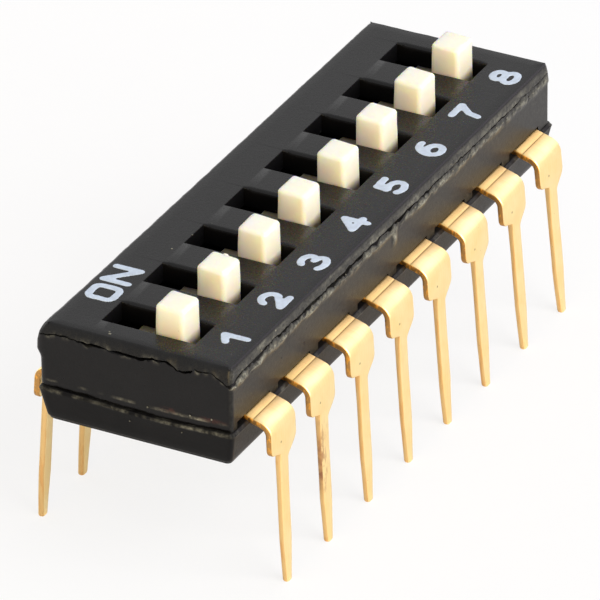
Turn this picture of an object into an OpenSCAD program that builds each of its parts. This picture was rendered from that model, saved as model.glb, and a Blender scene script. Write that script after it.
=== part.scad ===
// Eight-position slide switch in a dual in-line package with gull-bent through-hole leads.
// Axes: X runs along the row from position 1, Y points to the ON side, Z is up from the
// lead tips. Lengths are millimetres.

/* [Housing] */
// Distance from one position to the next
pitch = 2.54; // [2.4:0.01:2.7]
// From the outer positions to the end faces of the case
end_margin = 1.56; // [1.5:0.01:2]
// Width of the case across the row
body_w = 6.2; // [6.1:0.05:6.4]
// Height of the case and cover above the parting line
cover_h = 2.09; // [2:0.01:2.6]
// Thickness of the cover over the cells
roof_t = 0.62; // [0.5:0.01:0.7]
// Height of the cover's bevelled rim, above the seam
rim_h = 0.34; // [0.25:0.01:0.4]
// How far the bevelled rim draws in at the top
rim_draw = 0.05; // [0:0.01:0.15]
// Width of the land on which the cover's rim sits
land = 0.45; // [0.35:0.01:0.5]
// Height of the ledge under the seam
ledge_h = 0.24; // [0.1:0.01:0.4]
// How far the ledge stands out of the wall
ledge_out = 0.05; // [0.02:0.01:0.1]
// Thickness of the long walls beside the wells
wall_t = 0.75; // [0.7:0.01:0.8]
// Thickness of the ribs between the cells
rib_t = 0.5; // [0.4:0.01:0.6]
// Height of the base below the parting line
base_h = 1.1; // [0.9:0.01:1.3]
// How far the base stands out of the case wall
base_out = 0.1; // [0:0.01:0.15]
// Draft of the base from its upper edge to its underside
base_draft = 0.21; // [0:0.01:0.3]

/* [Slots] */
// Width of a slot along the row
slot_w = 1.2; // [1.16:0.01:1.3]
// Length of a slot across the row
slot_l = 3.08; // [2.9:0.01:3.3]
// Distance of the slots from the middle, towards the ON side
slot_y = 0.1; // [0:0.01:0.2]
// Rounding of the slots' edges that face position 1
mouth_r = 0.15; // [0.05:0.01:0.2]

/* [Sliders] */
// Travel from OFF to ON
travel = 1.28; // [1.1:0.01:1.35]
// Knob size along the row
knob_w = 1.08; // [0.95:0.01:1.12]
// Knob size across the row
knob_l = 0.96; // [0.8:0.01:1]
// Height of the knob above the cover
knob_h = 0.94; // [0.5:0.01:1.2]
// Side draft of a knob over its height
knob_draft = 0.03; // [0:0.01:0.06]
// Radius of the knob's upright edges
knob_r = 0.15; // [0.05:0.01:0.2]
// Width of the bevel round the knob's top
knob_bevel = 0.14; // [0.04:0.01:0.18]
// Reach of the slider plate from the knob's middle towards ON
plate_on = 1.5; // [1.1:0.01:1.55]
// Reach of the slider plate from the knob's middle towards OFF
plate_off = 1; // [0.9:0.01:1.1]
// Thickness of the slider plate
plate_t = 0.75; // [0.7:0.01:0.8]
// Height of the step cut from the plate's OFF end
step_h = 0.6; // [0.3:0.01:0.65]
// Side clearance of a slider in its cell
slide_clear = 0.07; // [0.05:0.01:0.1]
// Clearance between the slider plate and the cover
roof_clear = 0.03; // [0.02:0.01:0.05]
// Clearance between the slider plate and its stops
stop_clear = 0.02; // [0.02:0.01:0.05]

/* [Leads] */
// Spacing of the two lead rows at the bends
row_pitch = 7.62; // [7.62:0.01:7.9]
// Thickness of the lead strip
lead_t = 0.21; // [0.18:0.01:0.25]
// Width of a lead's shoulder
lead_w = 1.52; // [1.3:0.01:1.6]
// Outer radius of the bend
bend_r = 0.55; // [0.4:0.01:0.7]
// Length of the wide tab below the bend
tab_drop = 0.67; // [0.5:0.01:1.1]
// Radius of the tab's lower corners
tab_r = 0.2; // [0.05:0.01:0.3]
// Width of a leg
leg_w = 0.5; // [0.4:0.01:0.6]
// Width of a leg at its tip
tip_w = 0.28; // [0.2:0.01:0.35]
// Length of the narrowing at a tip
tip_taper = 1.5; // [0.4:0.1:2]
// Height of the housing's underside above the tips
stand = 4.51; // [3.6:0.01:5]
// Outward lean of the first lead on the digit side, in degrees
lean_digit = 2.1; // [0:0.1:6]
// Outward lean of the first lead on the ON side, in degrees
lean_on = 4.1; // [0:0.1:6]
// Outward lean of the last leads, in degrees
lean_last = 5.4; // [0:0.1:6]

/* [Contacts] */
// Gap between the two inner pads of a position
pad_gap = 0.5; // [0.4:0.01:0.6]
// Distance of the contact's feet from the slider's middle
foot_reach = 0.85; // [0.8:0.01:0.88]
// Thickness of the contact strip
contact_t = 0.12; // [0.08:0.01:0.14]
// Width of the contact strip
contact_w = 1; // [0.8:0.01:1.2]
// Rise of the contact's curled ends
curl_h = 0.18; // [0.1:0.01:0.2]
// Clearance under the contact's feet
foot_clear = 0.02; // [0.01:0.01:0.03]

/* [Fixings] */
// Diameter of the case's locating pegs
peg_d = 0.4; // [0.3:0.01:0.45]
// Distance of the pegs from the outside of the long walls
peg_inset = 0.38; // [0.36:0.01:0.4]
// Length of the locating pegs
peg_h = 0.45; // [0.3:0.01:0.5]
// Diameter of the base studs that hold the leads
stud_d = 0.4; // [0.3:0.01:0.5]
// Distance of the studs from the long edges of the deck
stud_inset = 0.35; // [0.3:0.01:0.4]
// Diameter of the slider's stake
stake_d = 0.4; // [0.3:0.01:0.5]
// Diameter of the stake's rolled head
stake_head = 0.6; // [0.55:0.01:0.7]
// Radial clearance of pegs, studs and stakes
fit_clear = 0.02; // [0.01:0.01:0.03]

/* [Hidden] */
$fn = 32;
positions = 8;
cut = 0.5;
z_rim = stand + base_h;
z_floor = z_rim + lead_t;
z_top = z_rim + cover_h;
z_seam = z_top - rim_h;
z_ceil = z_top - roof_t;
z_plate = z_ceil - roof_clear;
z_seat = z_plate - plate_t;
body_l = (positions - 1) * pitch + 2 * end_margin;
cell_w = pitch - rib_t;
deck_x = ((positions - 1) * pitch + cell_w) / 2;
well_y = body_w / 2 - wall_t;
peg_y = body_w / 2 - peg_inset;
peg_step = 3 * pitch;
stud_y = well_y - stud_inset;
rest_y = slot_y - travel / 2;
guide_off = rest_y - plate_off - stop_clear;
guide_on = rest_y + travel + plate_on + stop_clear;
gap_y = slot_y + foot_reach;
bend_y = row_pitch / 2 + lead_t / 2 - bend_r;
bend_z = z_floor - bend_r;
lip = 0.1;
edge = 0.03;
head_h = 0.08;

function pos_x(i) = (i - (positions + 1) / 2) * pitch;
// Leads 1 to 8 stand on the digit side, 9 to 16 come back along the ON side
function lead_pos(i) = i <= positions ? i : 2 * positions + 1 - i;
function lead_side(i) = i <= positions ? -1 : 1;
function lead_lean(i) = let (first = lead_side(i) < 0 ? lean_digit : lean_on)
    first + (lean_last - first) * (lead_pos(i) - 1) / (positions - 1);
function both_sides(half) = concat(half, [for (k = [len(half) - 1 : -1 : 0]) [-half[k][0], half[k][1]]]);

// A block whose four sides share one profile, given for each half as [distance, height]
module four_sided(half_y, half_x, long) {
    intersection() {
        rotate([90, 0, 90]) linear_extrude(height = long, center = true) polygon(both_sides(half_y));
        rotate([90, 0, 0]) linear_extrude(height = long, center = true) polygon(both_sides(half_x));
    }
}

function cover_side(w) = [[w - land, z_ceil], [w - land, z_seam], [w, z_seam],
    [w - rim_draw + edge / 2, z_top - edge], [w - rim_draw - edge / 2, z_top]];

function case_side(w) = [[w, z_rim], [w, z_seam - ledge_h - ledge_out], [w + ledge_out, z_seam - ledge_h],
    [w + ledge_out, z_seam - edge], [w - edge, z_seam - edge], [w - edge, z_seam]];

function base_side(w) = [[w - base_draft - lip, stand], [w - base_draft, stand + lip],
    [w, z_rim - lip], [w - lip / 2, z_rim]];

// The slotted top plate, welded to the case round its rim
module cover() {
    color("dimgray") difference() {
        four_sided(cover_side(body_w / 2), cover_side(body_l / 2), 2 * body_l);
        for (i = [1 : positions])
            translate([pos_x(i), slot_y + slot_l / 2, z_top]) rotate([90, 0, 0])
                linear_extrude(height = slot_l) slot_mouth();
    }
}

// Cross-section of a slot, from its mouth with one rounded edge down through the cover
module slot_mouth() {
    translate([-slot_w / 2, -roof_t - cut]) square([slot_w, roof_t + 2 * cut]);
    difference() {
        translate([0, -mouth_r]) square([slot_w / 2 + mouth_r, mouth_r + cut]);
        translate([slot_w / 2 + mouth_r, -mouth_r]) circle(r = mouth_r);
    }
}

// The walls and the ribs between the cells, pegged to the base
module case() {
    seat = land - fit_clear;
    color("dimgray") {
        difference() {
            four_sided(case_side(body_w / 2), case_side(body_l / 2), 2 * body_l);
            translate([seat - body_l / 2, seat - body_w / 2, z_ceil])
                cube([body_l - 2 * seat, body_w - 2 * seat, roof_t]);
            translate([-deck_x - fit_clear, -well_y - fit_clear, z_rim - cut])
                cube([2 * (deck_x + fit_clear), 2 * (well_y + fit_clear), lead_t + cut]);
            for (i = [1 : positions]) translate([pos_x(i), 0, 0]) {
                translate([-cell_w / 2, -well_y, z_rim])
                    cube([cell_w, 2 * well_y, z_seat - z_rim]);
                translate([-cell_w / 2, guide_off, z_rim])
                    cube([cell_w, guide_on - guide_off, cover_h]);
                translate([-lead_w / 2 - fit_clear, -body_w, z_rim - cut])
                    cube([lead_w + 2 * fit_clear, 2 * body_w, lead_t + fit_clear + cut]);
            }
        }
        for (k = [-1 : 1], s = [-1, 1])
            translate([k * peg_step, s * peg_y, z_rim - peg_h])
                cylinder(d = peg_d, h = peg_h + lead_t);
    }
}

module base() {
    color("black") {
        difference() {
            union() {
                four_sided(base_side(body_w / 2 + base_out), base_side(body_l / 2 + base_out), 2 * body_l);
                translate([-deck_x, -well_y, z_rim - lip]) cube([2 * deck_x, 2 * well_y, lead_t + lip]);
            }
            for (i = [1 : 2 * positions]) lead_bed(i);
            for (k = [-1 : 1], s = [-1, 1])
                translate([k * peg_step, s * peg_y, z_rim - peg_h - lip])
                    cylinder(r = peg_d / 2 + fit_clear, h = peg_h + lip + cut);
        }
        for (i = [1 : 2 * positions])
            translate([pos_x(lead_pos(i)), lead_side(i) * stud_y, z_rim - lip])
                cylinder(d = stud_d, h = lip + lead_t - fit_clear);
    }
}

// The flat strip of a lead, from its inner pad out to where the bend begins
module strip(i, w, clear, low) {
    s = lead_side(i);
    inner = s * gap_y + pad_gap / 2;
    translate([pos_x(lead_pos(i)), 0, 0]) mirror([0, s < 0 ? 1 : 0, 0])
        translate([-w / 2 - clear, inner - clear, z_rim - low])
            cube([w + 2 * clear, bend_y - inner + clear, lead_t + low + clear]);
}

module lead_bed(i) {
    strip(i, lead_w, fit_clear / 2, 0);
}

module tab_and_leg(lean) {
    reach = bend_z / cos(lean);
    translate([0, bend_r, 0]) rotate([90, 0, 0]) linear_extrude(height = lead_t) {
        translate([-lead_w / 2, -tab_drop + tab_r]) square([lead_w, tab_drop - tab_r]);
        translate([-lead_w / 2 + tab_r, -tab_drop]) square([lead_w - 2 * tab_r, tab_drop]);
        for (s = [-1, 1]) translate([s * (lead_w / 2 - tab_r), -tab_drop + tab_r]) circle(r = tab_r);
        polygon(both_sides([[leg_w / 2, -tab_drop + tab_r], [leg_w / 2, tip_taper - reach],
            [tip_w / 2, -reach], [tip_w / 2, -reach - cut]]));
    }
}

module terminal(i) {
    lean = lead_lean(i);
    color("gold") difference() {
        union() {
            strip(i, lead_w, 0, 0);
            translate([pos_x(lead_pos(i)), 0, 0]) mirror([0, lead_side(i) < 0 ? 1 : 0, 0])
                translate([0, bend_y, bend_z]) {
                    rotate([90, 0, 90]) linear_extrude(height = lead_w, center = true) intersection() {
                        difference() {
                            circle(r = bend_r);
                            circle(r = bend_r - lead_t);
                        }
                        polygon([[0, 0], [2 * bend_r * cos(lean), 2 * bend_r * sin(lean)],
                            [2 * bend_r, 2 * bend_r], [0, 2 * bend_r]]);
                    }
                    rotate([lean, 0, 0]) tab_and_leg(lean);
                }
        }
        translate([pos_x(lead_pos(i)), lead_side(i) * stud_y, z_rim - cut])
            cylinder(r = stud_d / 2 + fit_clear, h = lead_t + 2 * cut);
        translate([-body_l, -2 * body_w, -2 * cut]) cube([2 * body_l, 4 * body_w, 2 * cut]);
    }
}

module slider(i) {
    plate_w = cell_w - 2 * slide_clear;
    color("ivory") translate([pos_x(i), rest_y, 0]) {
        difference() {
            translate([-plate_w / 2, -plate_off, z_seat]) cube([plate_w, plate_off + plate_on, plate_t]);
            translate([-plate_w / 2 - cut, -knob_l / 2 - knob_r - plate_off, z_plate - step_h])
                cube([plate_w + 2 * cut, plate_off, plate_t]);
        }
        intersection() {
            four_sided(knob_side(knob_l / 2), knob_side(knob_w / 2), 2 * pitch);
            translate([0, 0, z_seat]) linear_extrude(height = z_top + knob_h - z_seat) {
                square([knob_w - 2 * knob_r, knob_l], center = true);
                square([knob_w, knob_l - 2 * knob_r], center = true);
                for (sx = [-1, 1], sy = [-1, 1])
                    translate([sx * (knob_w / 2 - knob_r), sy * (knob_l / 2 - knob_r)]) circle(r = knob_r);
            }
        }
        translate([0, 0, z_seat - contact_t - head_h]) {
            cylinder(d = stake_d, h = contact_t + 2 * head_h);
            cylinder(d = stake_head, h = head_h);
        }
    }
}

function knob_side(w) = [[w, z_plate - roof_clear], [w, z_top],
    [w - knob_draft, z_top + knob_h - knob_bevel], [w - knob_draft - knob_bevel, z_top + knob_h]];

module bar(a, b, t) {
    n = [a[1] - b[1], b[0] - a[0]] * t / 2 / norm(b - a);
    polygon([a + n, a - n, b - n, b + n]);
}

module contact(i) {
    knee = [stake_d, z_seat - contact_t / 2];
    foot = [foot_reach, z_floor + foot_clear + contact_t / 2];
    toe = foot + [curl_h, curl_h];
    color("goldenrod") translate([pos_x(i), rest_y, 0]) difference() {
        rotate([90, 0, 90]) linear_extrude(height = contact_w, center = true) {
            translate([-knee[0], z_seat - contact_t]) square([2 * knee[0], contact_t]);
            for (s = [0, 1]) mirror([s, 0]) {
                bar(knee, foot, contact_t);
                bar(foot, toe, contact_t);
                for (p = [knee, foot, toe]) translate(p) circle(d = contact_t);
            }
        }
        translate([0, 0, z_seat - contact_t - cut])
            cylinder(r = stake_d / 2 + fit_clear, h = contact_t + 2 * cut);
    }
}

cover();
case();
base();
for (i = [1 : positions]) {
    slider(i);
    contact(i);
}
for (i = [1 : 2 * positions])
    terminal(i);
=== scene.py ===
"""Visible model of an eight-position slide switch in a dual in-line package, with its materials and stage."""

import math

import bmesh
import bpy
from bpy.props import FloatProperty, FloatVectorProperty, PointerProperty
from mathutils import Matrix, Vector, noise


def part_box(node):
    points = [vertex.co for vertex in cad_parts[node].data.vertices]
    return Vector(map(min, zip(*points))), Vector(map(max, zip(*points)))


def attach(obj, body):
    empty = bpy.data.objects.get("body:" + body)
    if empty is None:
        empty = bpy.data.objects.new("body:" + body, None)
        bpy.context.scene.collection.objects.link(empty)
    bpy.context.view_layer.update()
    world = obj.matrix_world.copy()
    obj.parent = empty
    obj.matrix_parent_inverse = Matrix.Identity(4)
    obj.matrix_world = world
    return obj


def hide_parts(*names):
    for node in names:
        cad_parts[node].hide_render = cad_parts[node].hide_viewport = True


bl_info = {
    "name": "DIP Slide Switch",
    "version": (1, 0, 0),
    "blender": (4, 5, 0),
    "location": "3D View > Sidebar > DIP Switch",
    "description": "Builds the housing, sliders, leads and print of a DIP slide switch around its frame",
    "category": "Object",
}

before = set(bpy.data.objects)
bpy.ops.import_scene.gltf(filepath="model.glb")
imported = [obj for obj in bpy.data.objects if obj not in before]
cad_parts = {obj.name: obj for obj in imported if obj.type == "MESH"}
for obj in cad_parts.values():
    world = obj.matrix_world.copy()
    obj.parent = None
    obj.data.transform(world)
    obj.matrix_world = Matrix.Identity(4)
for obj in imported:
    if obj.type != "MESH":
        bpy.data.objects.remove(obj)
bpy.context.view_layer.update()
MM = 0.001
# Distance in millimetres within which two places count as the same
TINY = 1e-4
POSITIONS = sum(name.startswith("slider_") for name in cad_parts)


def size(name, description, default, least=0.0):
    """A length of the part; its default is in millimetres."""
    return FloatProperty(name=name, description=description, default=default * MM, min=least,
                         unit="LENGTH", precision=5)


def angle(name, description, default):
    """An angle; its default is in degrees."""
    return FloatProperty(name=name, description=description, default=math.radians(default), subtype="ANGLE")


def amount(name, description, default, unit="NONE"):
    """A strength or a length of the stage, in Blender's own units."""
    return FloatProperty(name=name, description=description, default=default, min=0.0, unit=unit)


def fraction(name, description, default):
    """A part of a whole."""
    return FloatProperty(name=name, description=description, default=default, min=0.0, max=1.0,
                         subtype="FACTOR")


def tint(name, description, default):
    """A linear colour of a finish."""
    return FloatVectorProperty(name=name, description=description, default=default, size=3,
                               min=0.0, max=1.0, subtype="COLOR")


class HousingSizes(bpy.types.PropertyGroup):
    """Sizes and finish of the cover, case and base"""
    slot_width: size("Slot width", "Width of a slot along the row", 1.2)
    slot_length: size("Slot length", "Length of a slot across the row", 3.08)
    slot_shift: size("Slot shift", "Distance of the slots from the middle, towards ON", 0.1)
    mouth_radius: size("Mouth radius", "Rounding of the slots' edges that face position 1", 0.15)
    mouth_edge: size("Mouth edge", "Rounding of the slots' other edges", 0.04)
    land: size("Land", "Width of the land that carries the cover's rim", 0.45)
    wall: size("Wall", "Thickness of the long walls beside the wells", 0.75)
    rib: size("Rib", "Thickness of the ribs between the cells", 0.5)
    corner: size("Corner", "Rounding of the case's upright corners", 0.14)
    base_corner: size("Base corner", "Rounding of the base's upright corners", 0.15)
    edge: size("Edge", "Rounding of the cover's upper edge", 0.07)
    rim_draw: size("Rim draw", "How far the cover's rim draws in at the top", 0.05)
    end_draw: size("End draw", "How much more it draws in at position 1", 0.1)
    on_draw: size("ON draw", "How much more it draws in on the ON side", 0.07)
    crack: size("Crack", "Mean opening of the welded seam at the outside", 0.08)
    flash: size("Flash", "Mean height of the squeezed-out weld bead", 0.08)
    drip: size("Drip", "How far the run of flash near the middle stands out", 0.045)
    groove: size("Groove", "Depth of the groove above the parting line", 0.03)
    sag: size("Sag", "How far the parting line hangs in the middle of the near end", 0.09)
    flare: size("Flare", "Most that the squeezed ON wall stands out, at position 1", 0.26)
    draft: size("Draft", "Draft of the base from its lip to its underside", 0.21)
    lip: size("Lip", "Height of the base's upper chamfer", 0.08)
    foot_draw: size("Foot draw", "How far the base draws in at its lowest edge", 0.05)
    on_out: size("ON swell", "How far the base's lip stands out on the ON side", 0.06)
    under: size("Underside", "How far the underside lies below its nominal level", 0.05)
    notch_play: size("Notch play", "How much wider than its lead a notch in the case is", 0.5)
    notch_shift: size("Notch shift", "Distance of a notch's far edge from its lead", 0.05)
    grid: size("Grid", "Spacing of the wall's columns that carry the uneven seam", 0.055)
    foot_reach: size("Foot reach", "Distance of a contact's feet from the slider's middle", 0.85)
    pad_gap: size("Pad gap", "Gap between the two inner pads of a position", 0.5)
    plastic: tint("Plastic", "Black moulded plastic", (0.0042, 0.0041, 0.0046))
    # Colour of weld flash and rubbed edges, also used as a painted highlight on lit lips and edges
    rubbed: tint("Rubbed plastic", "Weld flash and rubbed edges", (0.27, 0.265, 0.215))
    residue: tint("Residue", "Dried reddish residue above the parting line", (0.06, 0.022, 0.016))


class SliderSizes(bpy.types.PropertyGroup):
    """Sizes and finish of the sliders"""
    knob_width: size("Knob width", "Knob size along the row", 1.1)
    knob_length: size("Knob length", "Knob size across the row", 0.98)
    corner: size("Knob corner", "Radius of the knob's upright edges", 0.14)
    bevel: size("Knob bevel", "Rounding of the knob's top edges", 0.14)
    draft: size("Knob draft", "How far each side draws in over the knob's height", 0.02)
    droop: size("Droop", "How far the knob's top falls towards the OFF side", 0.07)
    sink: size("Sink", "Depth of the uneven sinks in the knob's faces", 0.012)
    tag: size("Tag", "Radius of the tag of nylon on one knob", 0.06)
    plate: size("Plate", "Thickness of the slider plate", 0.75)
    plate_off: size("Plate reach", "Reach of the plate from the knob's middle towards OFF", 1.0)
    step: size("Step", "Height of the step at the plate's OFF end", 0.6)
    travel: size("Travel", "Travel from OFF to ON", 1.28)
    roof_clear: size("Roof clearance", "Clearance between the plate and the cover", 0.03)
    stop_clear: size("Stop clearance", "Clearance between the plate and its stops", 0.02)
    stake: size("Stake", "Diameter of the stake that holds the contact", 0.4)
    stake_head: size("Stake head", "Diameter of the stake's rolled head", 0.6)
    contact: size("Contact strip", "Thickness of the contact strip", 0.12)
    cream: tint("Cream", "Cream nylon", (0.95, 0.92, 0.83))
    # Painted warm shade that deepens the knob towards its foot
    tan: tint("Tan", "Deeper tone of the nylon towards its foot", (0.85, 0.61, 0.29))
    # Painted shade on the nylon inside the slot
    foot: tint("Foot", "Darkened nylon inside the slot", (0.28, 0.235, 0.165))


class LeadSizes(bpy.types.PropertyGroup):
    """Sizes and finish of the leads"""
    row_pitch: size("Row pitch", "Spacing of the two lead rows at the bends", 7.62)
    thickness: size("Thickness", "Thickness of the lead strip", 0.21)
    bend_radius: size("Bend radius", "Outer radius of the plain bend that the lead is measured by", 0.55)
    slope: angle("Slope", "Fall of the lead between the wall and the bend", 17)
    wall_inset: size("Wall inset", "Distance of the slight bend inside the wall", 0.2)
    first_radius: size("First radius", "Outer radius of the slight bend beside the wall", 0.12)
    tight_radius: size("Tight radius", "Outer radius of the bend as it is formed", 0.47)
    score_place: size("Score place", "Distance of the scored line from the slight bend", 0.43)
    tab_drop: size("Tab drop", "Length of the wide tab below the bend", 0.7)
    tab_corner: size("Tab corner", "Radius of the tab's lower corner", 0.24)
    tab_fall: size("Tab fall", "How far the tab's lower edge falls towards the leg", 0.09)
    sweep: size("Sweep", "Length of the tab's curved side that runs into the leg", 0.62)
    sweep_past: size("Sweep end", "How far below the tab that curve ends", 0.4)
    fillet: size("Fillet", "Radius between the tab and the leg", 0.06)
    leg_width: size("Leg width", "Width of a leg", 0.5)
    leg_shift: size("Leg shift", "Distance of a leg from the middle of its tab", 0.05)
    tip_width: size("Tip width", "Width of a leg at its tip", 0.28)
    tip_taper: size("Tip taper", "Length of the narrowing at a tip", 1.5)
    edge: size("Lead edge", "Rounding of the stamped edges", 0.05)
    score: size("Score", "Depth of the line pressed in beside the bend", 0.01)
    wave: size("Wave", "How far a leg wanders from straight", 0.012)
    gold: tint("Gold", "Gold plating", (1.0, 0.80, 0.41))
    deep_gold: tint("Deep gold", "Deeper patches of the plating", (0.94, 0.62, 0.22))
    # Painted reflection tone: the flat above the bend is given a deeper orange for its darker reflections
    flat_gold: tint("Flat gold", "Tone of the plating above the bend", (1.0, 0.68, 0.24))
    streak: tint("Streaks", "Streaks of tarnish on the plating", (0.42, 0.17, 0.08))
    stain: tint("Stain", "Tarnish on the bare edges", (0.3, 0.13, 0.08))
    flank: tint("Flank", "Plated side of a leg", (0.84, 0.56, 0.24))
    deep_flank: tint("Deep flank", "Deeper streaks on a leg's side", (0.78, 0.46, 0.18))
    sheared: tint("Sheared edge", "Stamped edges of the strip", (0.5, 0.27, 0.09))
    spots: tint("Bright spots", "Bright spots on the stamped edges", (0.95, 0.46, 0.08))
    brass: tint("Contact", "Contact strip inside the cells", (0.70, 0.50, 0.25))
    deep_brass: tint("Deep contact", "Deeper streaks on the contact strip", (0.45, 0.28, 0.12))


class PrintSizes(bpy.types.PropertyGroup):
    """Sizes and finish of the print on the cover"""
    stroke: size("Stroke", "Width of the printed strokes", 0.24)
    film: size("Film", "Thickness of the ink", 0.012)
    voxel: size("Detail", "Mesh spacing of the ink", 0.03)
    ragged: size("Ragged", "Unevenness of the ink's edge", 0.012)
    number_y: size("Number place", "Foot of the numbers, from the middle towards ON", -2.675, -0.01)
    number_aside: size("Number aside", "Distance of the numbers from their slots' middle", 0.11)
    mark_x: size("Mark place", "Middle of the ON mark along the row", -7.505, -0.01)
    mark_y: size("Mark foot", "Foot of the ON mark, from the middle", 1.95)
    mark_pitch: size("Mark pitch", "Spacing of the ON mark's two letters", 1.13)
    ink: tint("Ink", "Pale blue-white ink", (0.61, 0.72, 0.87))


class StageSettings(bpy.types.PropertyGroup):
    """Floor, lamps and camera"""
    floor_span: amount("Floor span", "Width of the floor", 1.2, "LENGTH")
    floor_tone: tint("Floor", "Pale floor", (0.96, 0.96, 0.965))
    paper: fraction("Paper white", "Share of the floor that is its own white", 0.8)
    mirrored_paper: fraction("Mirrored paper", "The same share in reflections", 0.2)
    sky: amount("Sky", "Level of the soft light all round", 0.4)
    mirrored: amount("Mirrored sky", "Level of the sky in reflections", 0.92)
    key: amount("Key lamp", "Power of the large soft lamp", 2.08, "POWER")
    fill: amount("Fill lamp", "Power of the low soft lamp", 0.85, "POWER")
    side: amount("Side lamp", "Power of the soft lamp that lights the bends", 0.325, "POWER")
    back: amount("Back lamp", "Power of the soft lamp behind the part", 0.3, "POWER")
    key_span: amount("Key span", "Width of the large soft lamp", 0.4, "LENGTH")
    lens: amount("Lens", "Focal length of the camera, in millimetres", 503.05)
    distance: amount("Distance", "Camera distance", 0.251927, "LENGTH")
    aim: size("Aim", "Height of the point that the camera turns about", 4.3)
    slide_right: size("Slide right", "How far the camera is moved to its right", -0.106, -0.01)
    slide_up: size("Slide up", "How far the camera is moved up", -0.359, -0.01)
    azimuth: angle("Azimuth", "Camera direction round the part", -62.269)
    elevation: angle("Elevation", "Camera height angle", 30.015)
    roll: angle("Roll", "Camera roll", -0.552)


class Millimetres:
    """A copy of a group of settings, with its lengths in millimetres and its colours as tuples."""

    def __init__(self, settings):
        for key in type(settings).__annotations__:
            value = getattr(settings, key)
            if not isinstance(value, float):
                value = tuple(value)
            elif settings.bl_rna.properties[key].unit == "LENGTH":
                value /= MM
            setattr(self, key, value)


# ---------------------------------------------------------------- mesh helpers, in millimetres

def node_box(name):
    """Lowest and highest corners of a CAD node, in millimetres."""
    low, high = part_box(name)
    return low / MM, high / MM


def pos_x(i):
    """Middle of position i along the row."""
    low, high = node_box(f"slider_{i}")
    return (low.x + high.x) / 2


def ripple(x, y, step, seed):
    """Smooth noise from -1 to 1 that turns over about every step millimetres."""
    return noise.noise(Vector((x / step, y / step, seed * 7.31)))


def between(points, t):
    """Straight interpolation in a list of (place, value) points, sorted by place."""
    for (a, va), (b, vb) in zip(points, points[1:]):
        if t <= b:
            share = min(max((t - a) / (b - a), 0), 1)
            return va + (vb - va) * share
    return points[-1][1]


def bump_at(t, middle, half):
    """1 in the middle of a hump, falling smoothly to 0 half a width away."""
    share = max(0.0, 1 - ((t - middle) / half) ** 2)
    return share * share


def ramp(t, low, high):
    """Straight rise from 0 to 1 between two places."""
    return min(max((t - low) / (high - low), 0.0), 1.0)


def at_side(y, half_y):
    """1 on a long wall, falling to 0 just inside it."""
    return ramp(y, half_y - 0.1, half_y - 0.05)


def near_wall(high, depth):
    """Test for places that lie within a depth of a block's outer walls."""
    return lambda c: abs(c.x) > high.x - depth or abs(c.y) > high.y - depth


def faces_where(bm, test):
    return [f for f in bm.faces if test(f.calc_center_bounds())]


def cut(bm, axis, places, faces=None):
    """Scores the mesh, or those of its faces that pass a test, with planes across an axis."""
    normal = Vector([float(axis == k) for k in range(3)])
    for at in places:
        chosen = bm.faces[:] if faces is None else faces_where(bm, faces)
        edges = {e for f in chosen for e in f.edges}
        verts = {v for f in chosen for v in f.verts}
        bmesh.ops.bisect_plane(bm, geom=[*verts, *edges, *chosen], dist=1e-5,
                               plane_co=normal * at, plane_no=normal)


def ruled_sheet(x_lines, y_lines, z):
    """A level rectangle scored along lines; the outer lines are its edges."""
    bm = bmesh.new()
    bmesh.ops.create_grid(bm, x_segments=1, y_segments=1, size=0.5)
    span = Vector((x_lines[-1] - x_lines[0], y_lines[-1] - y_lines[0], 1))
    middle = Vector(((x_lines[-1] + x_lines[0]) / 2, (y_lines[-1] + y_lines[0]) / 2, z))
    bmesh.ops.scale(bm, vec=span, verts=bm.verts)
    bmesh.ops.translate(bm, vec=middle, verts=bm.verts)
    cut(bm, 0, x_lines[1:-1])
    cut(bm, 1, y_lines[1:-1])
    return bm


def extrude(bm, faces, rise, keep=False):
    """Raises faces as one region by a height; keep leaves the first faces as the underside."""
    made = bmesh.ops.extrude_face_region(bm, geom=faces, use_keep_orig=keep)["geom"]
    verts = [g for g in made if isinstance(g, bmesh.types.BMVert)]
    bmesh.ops.translate(bm, vec=(0, 0, rise), verts=verts)
    if not keep:
        bmesh.ops.delete(bm, geom=[f for f in faces if f.is_valid], context="FACES")
    return [g for g in made if isinstance(g, bmesh.types.BMFace)]


def round_edges(bm, edges, width, segments, clamp=True):
    bmesh.ops.bevel(bm, geom=edges, offset=width, offset_type="OFFSET", affect="EDGES",
                    segments=segments, profile=0.5, material=-1, clamp_overlap=clamp)


def steps(low, high, spacing):
    """Evenly spaced places strictly between two ends."""
    count = max(1, round((high - low) / spacing))
    return [low + (high - low) * k / count for k in range(1, count)]


def outward(x, y, half_x, half_y, radius):
    """Level direction that points out of the wall at a place on it; it turns round the corners."""
    near = Vector((min(max(x, radius - half_x), half_x - radius),
                   min(max(y, radius - half_y), half_y - radius), 0))
    away = Vector((x, y, 0)) - near
    return away.normalized() if away.length > 1e-6 else away


def revolve(bm, profile, middle):
    """A closed round shape from its outline as (radius, height) points that start and end on the axis."""
    verts = [bm.verts.new((middle[0] + radius, middle[1], height)) for radius, height in profile]
    edges = [bm.edges.new(pair) for pair in zip(verts, verts[1:])]
    bmesh.ops.spin(bm, geom=verts + edges, cent=(*middle, 0), axis=(0, 0, 1), angle=2 * math.pi, steps=24,
                   use_merge=True)


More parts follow.
